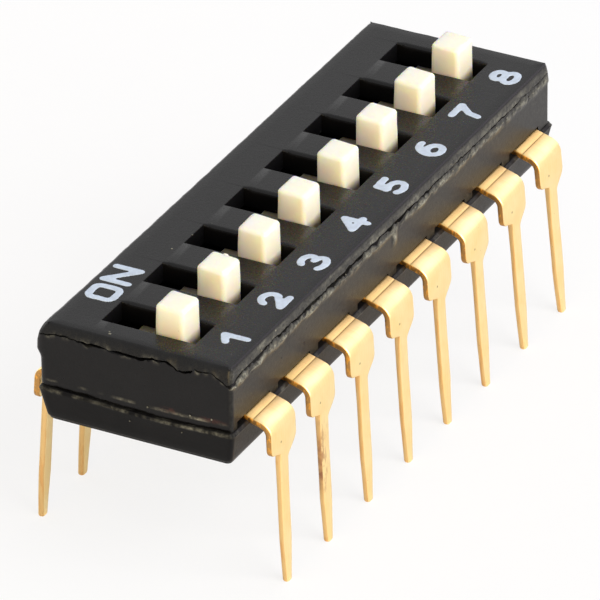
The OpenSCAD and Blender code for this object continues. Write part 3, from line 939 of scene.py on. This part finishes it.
def build_crumbs():
    """Dust and weld crumbs that lie on the housing, flattened against it."""
    high = node_box("cover")[1]
    span = high.x - 0.3
    bm = bmesh.new()
    places = list(CRUMBS)
    for k in range(SEAM_CRUMBS):
        x = (k * CRUMB_STEP) % 1 * 2 * span - span
        radius = 0.027 + 0.011 * ripple(x, k, 0.8, 25)
        places.append((x, -high.y - 0.02, high.z - 0.5 - 0.12 * ripple(x, k, 0.3, 26), radius))
    for k, (x, y, z, radius) in enumerate(places):
        made = bmesh.ops.create_icosphere(bm, subdivisions=2, radius=radius)["verts"]
        for v in made:
            v.co *= 1 + 0.35 * ripple(v.co.x * 30 + k, v.co.y * 30, 0.8, k)
        if z > high.z - 0.05 and abs(y) < high.y:
            flat = (1.0, 1.0, 0.45)
        else:
            flat = (0.5, 1.0, 1.0) if x < -high.x else (1.3, 0.5, 0.8)
        bmesh.ops.scale(bm, vec=flat, verts=made)
        bmesh.ops.translate(bm, vec=(x, y, z), verts=made)
    wear = bm.verts.layers.float.new("wear")
    for v in bm.verts:
        v[wear] = 1.0
    return bm


# Places of the ejector pins along the row
EJECTORS = (-7.62, 0.0, 7.62)


def build_ejector_marks():
    """Shallow raised rings that ejector pins left on the underside."""
    bottom = node_box("base")[0].z
    bm = bmesh.new()
    for x in EJECTORS:
        revolve(bm, [(0, bottom + 0.05), (0.66, bottom + 0.05), (0.66, bottom - 0.012), (0.6, bottom - 0.012),
                     (0.57, bottom + 0.01), (0, bottom + 0.01)], (x, 0.0))
    return bm


# ---------------------------------------------------------------- sliders and leads

def slider_block(low, high, plate_top, sizes):
    """Slider plate with its step, and the drafted knob on it, about the knob's middle."""
    middle_y = low.y + sizes.plate_off
    seat, step = plate_top - sizes.plate, plate_top - sizes.step
    half_w, half_l, half_x = sizes.knob_width / 2, sizes.knob_length / 2, (high.x - low.x) / 2
    step_y = -half_l - sizes.corner
    bm = ruled_sheet([-half_x, -half_w, half_w, half_x],
                     [low.y - middle_y, step_y, -half_l, half_l, high.y - middle_y], seat)
    extrude(bm, bm.faces[:], step - seat, keep=True)
    extrude(bm, faces_where(bm, lambda c: c.z > step - TINY and c.y > step_y), plate_top - step)
    knob = faces_where(bm, lambda c: c.z > plate_top - TINY and abs(c.x) < half_w and abs(c.y) < half_l)
    top = extrude(bm, knob, high.z - plate_top)
    bmesh.ops.recalc_face_normals(bm, faces=bm.faces)
    for v in {v for f in top for v in f.verts}:
        v.co.x -= math.copysign(sizes.draft, v.co.x)
        v.co.y -= math.copysign(sizes.draft, v.co.y)
    upright = [e for e in bm.edges if abs(e.verts[0].co.z - e.verts[1].co.z) > 1
               and any(v.co.z > high.z - TINY for v in e.verts)]
    round_edges(bm, upright, sizes.corner, 5)
    round_edges(bm, [e for e in bm.edges if all(v.co.z > high.z - TINY for v in e.verts)], sizes.bevel, 5)
    return bm


TAGGED_KNOB = 2


def build_slider(i, sizes):
    """A slider with the uneven faces of its knob, and the stake that holds its contact."""
    low, high = node_box(f"slider_{i}")
    plate_top = node_box("cover")[0].z - sizes.roof_clear
    half_w, half_l = sizes.knob_width / 2, sizes.knob_length / 2
    bm = slider_block(low, high, plate_top, sizes)
    on_knob = plate_top + 0.05
    cut(bm, 2, steps(plate_top, high.z - sizes.bevel, 0.15), lambda c: c.z > on_knob)
    for axis, half in ((0, half_w), (1, half_l)):
        cut(bm, axis, steps(-half, half, 0.2), lambda c: c.z > on_knob)
    for v in bm.verts:
        if v.co.z > on_knob:
            lift = ramp(v.co.z, high.z - 0.6, high.z)
            v.co.z -= lift * sizes.droop * (0.5 - v.co.y / half_l / 2)
            dent_x, dent_y = (sizes.sink * ripple(at + 2 * i, v.co.z, 0.6, seed)
                              for at, seed in ((v.co.y, i), (v.co.x, i + 9)))
            v.co += Vector((dent_x, dent_y, 0.4 * dent_x * lift))
    stake, head, seat = sizes.stake / 2, sizes.stake_head / 2, plate_top - sizes.plate
    under = seat - sizes.contact
    revolve(bm, [(0, seat + 0.05), (stake, seat + 0.05), (stake, under), (head, under - 0.01),
                 (head * 0.8, under - 0.07), (0, under - 0.08)], (0.0, 0.0))
    if i == TAGGED_KNOB:
        place = Matrix.Translation((half_w - 0.1, 0.0, high.z - 0.06)) @ Matrix.Diagonal((0.7, 1.6, 1.0, 1.0))
        tag = bmesh.ops.create_icosphere(bm, subdivisions=2, radius=sizes.tag, matrix=place)["verts"]
        for f in {f for v in tag for f in v.link_faces}:
            f.material_index = 1
    middle = (low.x + high.x) / 2, low.y + sizes.plate_off, 0
    bmesh.ops.translate(bm, vec=middle, verts=bm.verts)
    return bm


def lead_lean(reach_y, bend_y, radius, bend_z):
    """Outward lean of a lead, from how far its tip reaches."""
    lean = 0.0
    for _ in range(8):
        lean = math.atan((reach_y - bend_y - radius / math.cos(lean)) / bend_z)
    return lean


def lead_stretches(wall, start, target, turn, lean, sizes):
    """The formed lead as (length, radius) stretches: slight bend at the wall, slope, tight bend and leg."""
    slope, first, tight = sizes.slope, sizes.first_radius, sizes.tight_radius
    reach = wall + first * math.sin(slope) + tight * (math.sin(turn) - math.sin(slope))
    drop = first * (1 - math.cos(slope)) + tight * (math.cos(slope) - math.cos(turn))
    length = (target[0] - reach + (target[1] + drop) * math.tan(lean)) / (
        math.cos(slope) - math.sin(slope) * math.tan(lean))
    return [(wall - start, 0), (first * slope, first), (length, 0), (tight * (turn - slope), tight), (math.inf, 0)]


def formed(start, s, h, stretches):
    """Distance from the middle and height, below the lead's top, of a place on the formed strip."""
    y, z, turned = start, 0.0, 0.0
    for length, radius in stretches:
        part = min(max(s, 0.0), length)
        s -= part
        if radius:
            more = part / radius
            y += radius * (math.sin(turned + more) - math.sin(turned))
            z += radius * (math.cos(turned + more) - math.cos(turned))
            turned += more
        else:
            y += part * math.cos(turned)
            z -= part * math.sin(turned)
    return y + h * math.sin(turned), z + h * math.cos(turned)


def blank_rows(ends, scored, tab_end, leg_end, sizes):
    """Rows of the flat blank from its inner pad to its tip, each as (distance, left edge, right edge)."""
    half = (node_box("terminal_1")[1].x - node_box("terminal_1")[0].x) / 2
    corner, fillet, fall, sweep = sizes.tab_corner, sizes.fillet, sizes.tab_fall, sizes.sweep
    shift, leg, tip = sizes.leg_shift, sizes.leg_width / 2, sizes.tip_width / 2
    sweep_end, taper = tab_end + sizes.sweep_past, leg_end - sizes.tip_taper
    inner_x = shift - leg - fillet

    def left(s):
        if s <= tab_end:
            return -half + corner - math.sqrt(corner ** 2 - max(0, s - tab_end + corner) ** 2)
        if s <= tab_end + fall:
            return corner - half + (inner_x - corner + half) * (s - tab_end) / fall
        return inner_x + math.sqrt(max(0, fillet ** 2 - max(0, tab_end + fall + fillet - s) ** 2))

    def right(s):
        share = ramp(s, sweep_end - sweep, sweep_end)
        return half + (leg + shift - half) * (1 - math.cos(math.pi * share ** 1.25)) / 2
    places = [0, ends[0], (ends[0] + ends[1]) / 2, *(scored + off for off in (-0.05, -0.02, 0.0, 0.02, 0.05)),
              *(ends[2] + (ends[3] - ends[2]) * k / 12 for k in range(13)), tab_end - corner - 0.1,
              *(tab_end - corner + corner * math.sin(math.radians(turn)) for turn in (0, 20, 40, 60, 78, 90)),
              tab_end + fall / 2, *(tab_end + fall + fillet * share for share in (0, 0.3, 1.0)),
              *(sweep_end - sweep * share for share in (1, 0.88, 0.76, 0.64, 0.52, 0.42, 0.26, 0.16, 0.08, 0))]
    rows = [(s, left(s), right(s)) for s in sorted(places)]
    for share in (0.33, 0.67, 1.0):
        rows.append((taper * share + sweep_end * (1 - share), shift - leg, shift + leg))
    for share in (0.25, 0.5, 0.75, 1.0):
        reach = leg + (tip - leg) * share
        rows.append((taper + (leg_end + SPARE - taper) * share, shift - reach, shift + reach))
    return rows


def stamped_blank(rows, thick, edge, tab_end):
    """The flat strip, cut out along its rows, with softened edges."""
    bm = bmesh.new()
    front = [bm.edges.new([bm.verts.new((x, rows[0][0], 0)) for x in rows[0][1:]])]
    for place, left, right in rows[1:]:
        made = bmesh.ops.extrude_edge_only(bm, edges=front)["geom"]
        front = [g for g in made if isinstance(g, bmesh.types.BMEdge) and all(v in made for v in g.verts)]
        for v in {v for e in front for v in e.verts}:
            v.co = (left if v.co.x < 0 else right, place, 0)
        front = [e for e in front if abs(e.verts[0].co.y - e.verts[1].co.y) < 1e-6]
    extrude(bm, bm.faces[:], -thick, keep=True)
    bmesh.ops.recalc_face_normals(bm, faces=bm.faces)
    for f in bm.faces:
        if abs(f.normal.z) < 0.5:
            f.material_index = 1 if f.calc_center_median().y < tab_end + 0.05 else 2
    round_edges(bm, [e for e in bm.edges if e.calc_face_angle(0) > 1], edge, 3, clamp=False)
    return bm


def round_leg(x, h, left, right, thick, share):
    """Softens the stamped corners further along the leg."""
    middle, half, half_h = (left + right) / 2, (right - left) / 2, thick / 2
    more = 1 + 0.75 * share
    x = middle + math.copysign(max(0, half - (half - abs(x - middle)) * more), x - middle)
    return x, -half_h + math.copysign(max(0, half_h - (half_h - abs(h + half_h)) * more), h + half_h)


def trim_leg(bm, level, edge):
    """Cuts a leg off level, and rounds its tip."""
    cutoff = bmesh.ops.bisect_plane(bm, geom=bm.verts[:] + bm.edges[:] + bm.faces[:], dist=1e-5,
                                    plane_co=(0, 0, level), plane_no=(0, 0, 1), clear_inner=True)
    loop = [g for g in cutoff["geom_cut"] if isinstance(g, bmesh.types.BMEdge)]
    tip = bmesh.ops.edgeloop_fill(bm, edges=loop)["faces"]
    round_edges(bm, [e for f in tip for e in f.edges], edge, 2)


# Legs that end above the others, and leads that sit to one side
SHORT_LEGS = {14: 0.24, 15: 0.07}
ASIDE = {1: 0.12, 2: 0.05, 3: 0.04, 4: 0.08, 5: 0.03, 15: -0.06, 16: 0.06}
# Spare length of the blank, which the trimmed tip loses
SPARE = 0.1
STAINED_LEAD, STAIN_LENGTH = 2, 2.6


def build_lead(i, sizes):
    """A lead as it is made: a flat stamped blank with softened edges, then formed round its bends."""
    low, high = node_box(f"terminal_{i}")
    side = -1 if low.y + high.y < 0 else 1
    inner = -high.y if side < 0 else low.y
    thick, radius = sizes.thickness, sizes.bend_radius
    bend_y = sizes.row_pitch / 2 + thick / 2 - radius
    lean = lead_lean(max(abs(low.y), abs(high.y)), bend_y, radius, high.z - radius)
    turn = math.pi / 2 - lean
    target = bend_y + radius * math.sin(turn), radius * (math.cos(turn) - 1)
    stretches = lead_stretches(node_box("cover")[1].y - sizes.wall_inset, inner, target, turn, lean, sizes)
    ends = [sum(length for length, _ in stretches[:count]) for count in (1, 2, 3, 4)]
    scored, tab_end = ends[0] + sizes.score_place, ends[3] + sizes.tab_drop
    leg_end = ends[3] + (high.z + formed(inner, ends[3], 0, stretches)[1]) / math.cos(lean)
    rows = blank_rows(ends, scored, tab_end, leg_end, sizes)
    bm = stamped_blank(rows, thick, sizes.edge, tab_end)
    strip = bm.verts.layers.float_vector.new("strip")
    scratch, tarnish = (bm.verts.layers.float.new(name) for name in ("scored", "tarnish"))
    lefts, rights = [row[:2] for row in rows], [(row[0], row[2]) for row in rows]
    for v in bm.verts:
        x, s, h = v.co
        on_leg = ramp(s, tab_end + 0.25, tab_end + 0.6)
        v[strip] = (x, min(s - ends[2], 0) + max(s - ends[3], 0), h)
        # Where the pressed line gets its painted shade
        v[scratch] = bump_at(s, scored, 0.09)
        if i == STAINED_LEAD and s < tab_end + STAIN_LENGTH:
            v[tarnish] = on_leg * ramp(between(lefts, s) - x, -0.22, -0.05)
        if on_leg:
            x, h = round_leg(x, h, between(lefts, s), between(rights, s), thick, on_leg)
        if h > -0.01:
            h -= sizes.score * bump_at(s, scored, 0.03)
        x += ASIDE.get(i, 0.0) * (1 - 0.67 * ramp(s, tab_end - 0.2, tab_end + 0.5))
        wave = sizes.wave * ripple(x + i, s, 0.9, 30 + i) * ramp(s, ends[3], ends[3] + 1)
        y, z = formed(inner, s, h, stretches)
        v.co = Vector((x, y + wave, high.z + z))
    trim_leg(bm, SHORT_LEGS.get(i, 0.0), sizes.edge)
    if side < 0:
        bmesh.ops.scale(bm, vec=(1, -1, 1), verts=bm.verts)
    bmesh.ops.translate(bm, vec=((low.x + high.x) / 2, 0, 0), verts=bm.verts)
    return bm


# ---------------------------------------------------------------- print

def arc_points(x, y, rx, ry, start, end, count=8):
    """Points on an ellipse between two angles in degrees."""
    angles = [math.radians(start + (end - start) * k / count) for k in range(count + 1)]
    return [(x + rx * math.cos(a), y + ry * math.sin(a)) for a in angles]


# Centre lines of each character's strokes, in millimetres from the middle of its foot
STROKES = {
    "1": [[(-0.33, 0.52), (0.05, 0.74), (0.05, 0.0)]],
    "2": [arc_points(0, 0.5, 0.31, 0.26, 165, -30) + [(-0.3, 0.02), (0.33, 0.02)]],
    "3": [arc_points(-0.04, 0.55, 0.3, 0.2, 150, -60), arc_points(-0.04, 0.2, 0.34, 0.21, 75, -150)],
    "4": [[(0.18, 0.0), (0.18, 0.76), (-0.36, 0.24), (0.36, 0.24)]],
    "5": [[(0.3, 0.77), (-0.24, 0.77), (-0.28, 0.42)] + arc_points(-0.02, 0.23, 0.33, 0.24, 125, -145)],
    "6": [arc_points(0, 0.24, 0.3, 0.24, 180, -180, 12), arc_points(0.14, 0.3, 0.46, 0.48, 190, 80)],
    "7": [[(-0.36, 0.76), (0.36, 0.76), (-0.02, 0.34), (-0.1, 0.0)]],
    "8": [arc_points(0, 0.58, 0.26, 0.19, -90, 270, 12), arc_points(0, 0.2, 0.33, 0.21, -90, 270, 12)],
    "O": [arc_points(0.17, 0.61, 0.18, 0.19, 90, 0, 4) + arc_points(0.17, 0.18, 0.18, 0.19, 0, -90, 4)
          + arc_points(-0.17, 0.18, 0.18, 0.19, -90, -180, 4) + arc_points(-0.17, 0.61, 0.18, 0.19, 180, 90, 4)
          + [(0.17, 0.8)]],
    "N": [[(-0.41, 0.0), (-0.41, 0.82), (0.41, 0.0), (0.41, 0.82)]],
}


def fuse_strokes(strokes, radius, voxel):
    """Rounded strokes along their centre lines, as one closed mesh."""
    bm = bmesh.new()
    for stroke in strokes:
        for place in stroke:
            bmesh.ops.create_icosphere(bm, subdivisions=2, radius=radius,
                                       matrix=Matrix.Translation((*place, 0)))
        for a, b in zip(stroke, stroke[1:]):
            along = Vector((b[0] - a[0], b[1] - a[1], 0))
            turned = Vector((0, 0, 1)).rotation_difference(along).to_matrix().to_4x4()
            middle = Matrix.Translation(Vector((*a, 0)) + along / 2)
            bmesh.ops.create_cone(bm, cap_ends=True, segments=20, radius1=radius, radius2=radius,
                                  depth=along.length, matrix=middle @ turned)
    rough = bpy.data.meshes.new("strokes")
    bm.to_mesh(rough)
    bm.free()
    holder = bpy.data.objects.new("strokes", rough)
    bpy.context.scene.collection.objects.link(holder)
    fuse = holder.modifiers.new("Fuse", "REMESH")
    fuse.mode = "VOXEL"
    fuse.voxel_size = voxel
    fused = bpy.data.meshes.new_from_object(holder.evaluated_get(bpy.context.evaluated_depsgraph_get()))
    bpy.data.objects.remove(holder)
    bpy.data.meshes.remove(rough)
    bm = bmesh.new()
    bm.from_mesh(fused)
    bpy.data.meshes.remove(fused)
    return bm


def build_glyph(character, middle_x, foot_y, top_z, sizes):
    """One printed character as a thin film of ink with slightly ragged edges."""
    radius, seed = sizes.stroke / 2, ord(character)
    bm = fuse_strokes(STROKES[character], radius, sizes.voxel)
    for v in bm.verts:
        x, y, z = v.co
        level = math.copysign(min(1.0, abs(z) / radius * 1.6), z)
        v.co = Vector((x + sizes.ragged * ripple(x * 3, y * 3, 0.5, seed),
                       y + sizes.ragged * ripple(x * 3, y * 3, 0.5, seed + 3), level * sizes.film))
    bmesh.ops.translate(bm, vec=(middle_x, foot_y, top_z), verts=bm.verts)
    return bm


# ---------------------------------------------------------------- stage

# Soft lamps, all aimed at the part: place in metres, share of the key lamp's width, and colour
LAMPS = {"key": ((-0.06, -0.375, 0.25), 1.0, (1.0, 0.985, 0.96)),
         "fill": ((-0.45, -0.12, 0.1), 0.5, (1.0, 0.7, 0.26)),
         "side": ((0.3, -0.12, 0.22), 0.8, (0.95, 0.8, 1.0)),
         "back": ((0.08, 0.4, 0.16), 0.7, (1.0, 0.97, 0.93))}
WHITE = (1.0, 1.0, 1.0)


def floor_paper(tone, white_share, mirrored_share):
    """White paper: its own white where it is seen, with the part's soft shadow kept."""
    paper = Finish("floor_paper")
    fibre = paper.ranged(paper.noise(paper.place, 0.7, 4.0), 0.3, 0.7)
    material = paper.done(Base_Color=paper.blend(fibre, tone, shade(tone, 0.985)), Roughness=0.9,
                          Specular_IOR_Level=0.0)
    path = paper.add("ShaderNodeLightPath").outputs
    seen = paper.times(paper.most(path["Is Camera Ray"], path["Is Transmission Ray"]), white_share)
    share = paper.most(seen, paper.times(path["Is Glossy Ray"], mirrored_share))
    own = paper.add("ShaderNodeEmission", {"Color": WHITE, "Strength": 1.0})
    mixed = paper.add("ShaderNodeMixShader", {0: share, 1: paper.tree.nodes["Principled BSDF"].outputs[0],
                                              2: own.outputs[0]})
    paper.tree.links.new(mixed.outputs[0], paper.tree.nodes["Material Output"].inputs["Surface"])
    return material


def set_world(scene, level, mirrored):
    """Even soft light; it is white where the camera sees it, and a little softer in reflections."""
    scene.world = bpy.data.worlds.new("studio")
    scene.world.use_nodes = True
    sky = Nodes(scene.world.node_tree)
    light = sky.tree.nodes["Background"]
    sky.put(light.inputs["Color"], (1.0, 0.99, 0.975))
    sky.put(light.inputs["Strength"], level)
    path = sky.add("ShaderNodeLightPath").outputs
    direct = sky.most(path["Is Camera Ray"], path["Is Transmission Ray"])
    strength = sky.most(direct, sky.times(path["Is Glossy Ray"], mirrored))
    white = sky.add("ShaderNodeBackground", {"Color": WHITE, "Strength": strength})
    mixed = sky.add("ShaderNodeMixShader", {0: sky.most(direct, path["Is Glossy Ray"]), 1: light.outputs[0],
                                            2: white.outputs[0]})
    sky.tree.links.new(mixed.outputs[0], sky.tree.nodes["World Output"].inputs["Surface"])


def add_lamp(scene, name, place, power, span, colour):
    """A large soft square lamp aimed at the part."""
    lamp = bpy.data.lights.new(name, "AREA")
    lamp.energy, lamp.size, lamp.color = power, span, colour
    obj = bpy.data.objects.new(name, lamp)
    obj.location = place
    obj.rotation_euler = (-Vector(place)).to_track_quat("-Z", "Y").to_euler()
    scene.collection.objects.link(obj)


def add_camera(scene, stage):
    """Long lens that looks down along the row, from the digit side of position 1."""
    az, el, roll = stage.azimuth, stage.elevation, stage.roll
    back = Vector((math.sin(az) * math.cos(el), -math.cos(az) * math.cos(el), math.sin(el)))
    level = Vector((math.cos(az), math.sin(az), 0))
    up = back.cross(level)
    right = math.cos(roll) * level + math.sin(roll) * up
    top = -math.sin(roll) * level + math.cos(roll) * up
    place = Vector((0, 0, stage.aim)) + back * stage.distance + right * stage.slide_right + top * stage.slide_up
    camera = bpy.data.cameras.new("camera")
    camera.sensor_width, camera.lens = 36, stage.lens
    camera.clip_start, camera.clip_end = 0.01, 10
    obj = bpy.data.objects.new("camera", camera)
    obj.matrix_world = Matrix.Translation(place) @ Matrix((right, top, back)).transposed().to_4x4()
    scene.collection.objects.link(obj)
    scene.camera = obj


# ---------------------------------------------------------------- operators

class DIP_OT_stage(bpy.types.Operator):
    """Build the finishes, the floor, the soft light and the camera"""
    bl_idname = "dip.stage"
    bl_label = "Stage"

    def execute(self, context):
        scene, stage = context.scene, context.scene.dip_stage
        make_materials(*(Millimetres(settings) for settings in (scene.dip_housing, scene.dip_sliders,
                                                                scene.dip_leads)), tuple(scene.dip_print.ink))
        scene.view_settings.view_transform = "Standard"
        bm = bmesh.new()
        bmesh.ops.create_grid(bm, x_segments=24, y_segments=24, size=stage.floor_span / 2)
        mesh = bpy.data.meshes.new("floor")
        bm.to_mesh(mesh)
        bm.free()
        floor = bpy.data.objects.new("floor", mesh)
        scene.collection.objects.link(floor)
        mesh.materials.append(floor_paper(tuple(stage.floor_tone), stage.paper, stage.mirrored_paper))
        set_world(scene, stage.sky, stage.mirrored)
        for name, (place, share, colour) in LAMPS.items():
            add_lamp(scene, name, place, getattr(stage, name), stage.key_span * share, colour)
        add_camera(scene, stage)
        return {"FINISHED"}


class DIP_OT_housing(bpy.types.Operator):
    """Build the cover, the case, the base and the marks on them"""
    bl_idname = "dip.housing"
    bl_label = "Housing"

    def execute(self, context):
        scene = context.scene
        sizes, sliders, leads = (Millimetres(settings) for settings in (scene.dip_housing, scene.dip_sliders,
                                                                        scene.dip_leads))
        for name, slot, shape in (("cover", "cover_black", build_cover(sizes)),
                                  ("case", "cover_black", build_case(sizes, sliders, leads)),
                                  ("base", "base_black", build_base(sizes, leads))):
            make_piece(f"housing_{name}", shape, [MATERIALS[name], MATERIALS["inside"]], "housing", [name])
        make_piece("weld_crumbs", build_crumbs(), [MATERIALS["case"]], "housing")
        make_piece("ejector_marks", build_ejector_marks(), [MATERIALS["base"]], "housing")
        return {"FINISHED"}


class DIP_OT_sliders(bpy.types.Operator):
    """Build the sliders and finish their contacts"""
    bl_idname = "dip.sliders"
    bl_label = "Sliders"

    def execute(self, context):
        sizes = Millimetres(context.scene.dip_sliders)
        for i in range(1, POSITIONS + 1):
            make_piece(f"knob_{i}", build_slider(i, sizes), [MATERIALS["knob"], MATERIALS["burr"]],
                       f"switch_{i}", [f"slider_{i}"])
            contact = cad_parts[f"contact_{i}"]
            contact.data.materials.clear()
            contact.data.materials.append(MATERIALS["brass"])
        return {"FINISHED"}


class DIP_OT_leads(bpy.types.Operator):
    """Build the two rows of leads"""
    bl_idname = "dip.leads"
    bl_label = "Leads"

    def execute(self, context):
        sizes = Millimetres(context.scene.dip_leads)
        for i in range(1, 2 * POSITIONS + 1):
            make_piece(f"lead_{i}", build_lead(i, sizes), [MATERIALS[name] for name in ("gold", "sheared", "flank")],
                       "housing", [f"terminal_{i}"])
        return {"FINISHED"}


class DIP_OT_print(bpy.types.Operator):
    """Build the printed numbers and the ON mark"""
    bl_idname = "dip.print"
    bl_label = "Print"

    def execute(self, context):
        sizes = Millimetres(context.scene.dip_print)
        marks = [("number", str(i), pos_x(i) + sizes.number_aside * (2 if i == 1 else 1), sizes.number_y)
                 for i in range(1, POSITIONS + 1)]
        marks += [("mark", letter, sizes.mark_x + side * sizes.mark_pitch / 2, sizes.mark_y)
                  for side, letter in ((-1, "O"), (1, "N"))]
        for kind, letter, x, y in marks:
            make_piece(f"{kind}_{letter}", build_glyph(letter, x, y, node_box("cover")[1].z, sizes),
                       [MATERIALS["ink"]], "housing", sharp=80)
        return {"FINISHED"}


class DIP_PT_panel(bpy.types.Panel):
    """Builds the switch and holds its sizes"""
    bl_label = "DIP Switch"
    bl_idname = "DIP_PT_panel"
    bl_space_type = "VIEW_3D"
    bl_region_type = "UI"
    bl_category = "DIP Switch"

    def draw(self, context):
        for operator in OPERATORS:
            self.layout.operator(operator.bl_idname)
        for name in GROUPS_OF_SIZES:
            box = self.layout.box()
            settings = getattr(context.scene, name)
            box.label(text=settings.__doc__)
            for key in settings.__annotations__:
                box.prop(settings, key)


OPERATORS = (DIP_OT_stage, DIP_OT_housing, DIP_OT_sliders, DIP_OT_leads, DIP_OT_print)
GROUPS_OF_SIZES = {"dip_stage": StageSettings, "dip_housing": HousingSizes, "dip_sliders": SliderSizes,
                   "dip_leads": LeadSizes, "dip_print": PrintSizes}


def register():
    for cls in (*GROUPS_OF_SIZES.values(), *OPERATORS, DIP_PT_panel):
        bpy.utils.register_class(cls)
    for name, cls in GROUPS_OF_SIZES.items():
        setattr(bpy.types.Scene, name, PointerProperty(type=cls))


def unregister():
    for name in GROUPS_OF_SIZES:
        delattr(bpy.types.Scene, name)
    for cls in (DIP_PT_panel, *reversed(OPERATORS), *GROUPS_OF_SIZES.values()):
        bpy.utils.unregister_class(cls)


def main():
    register()
    bpy.ops.dip.stage()
    bpy.ops.dip.housing()
    bpy.ops.dip.sliders()
    bpy.ops.dip.leads()
    bpy.ops.dip.print()


if __name__ == "__main__":
    main()
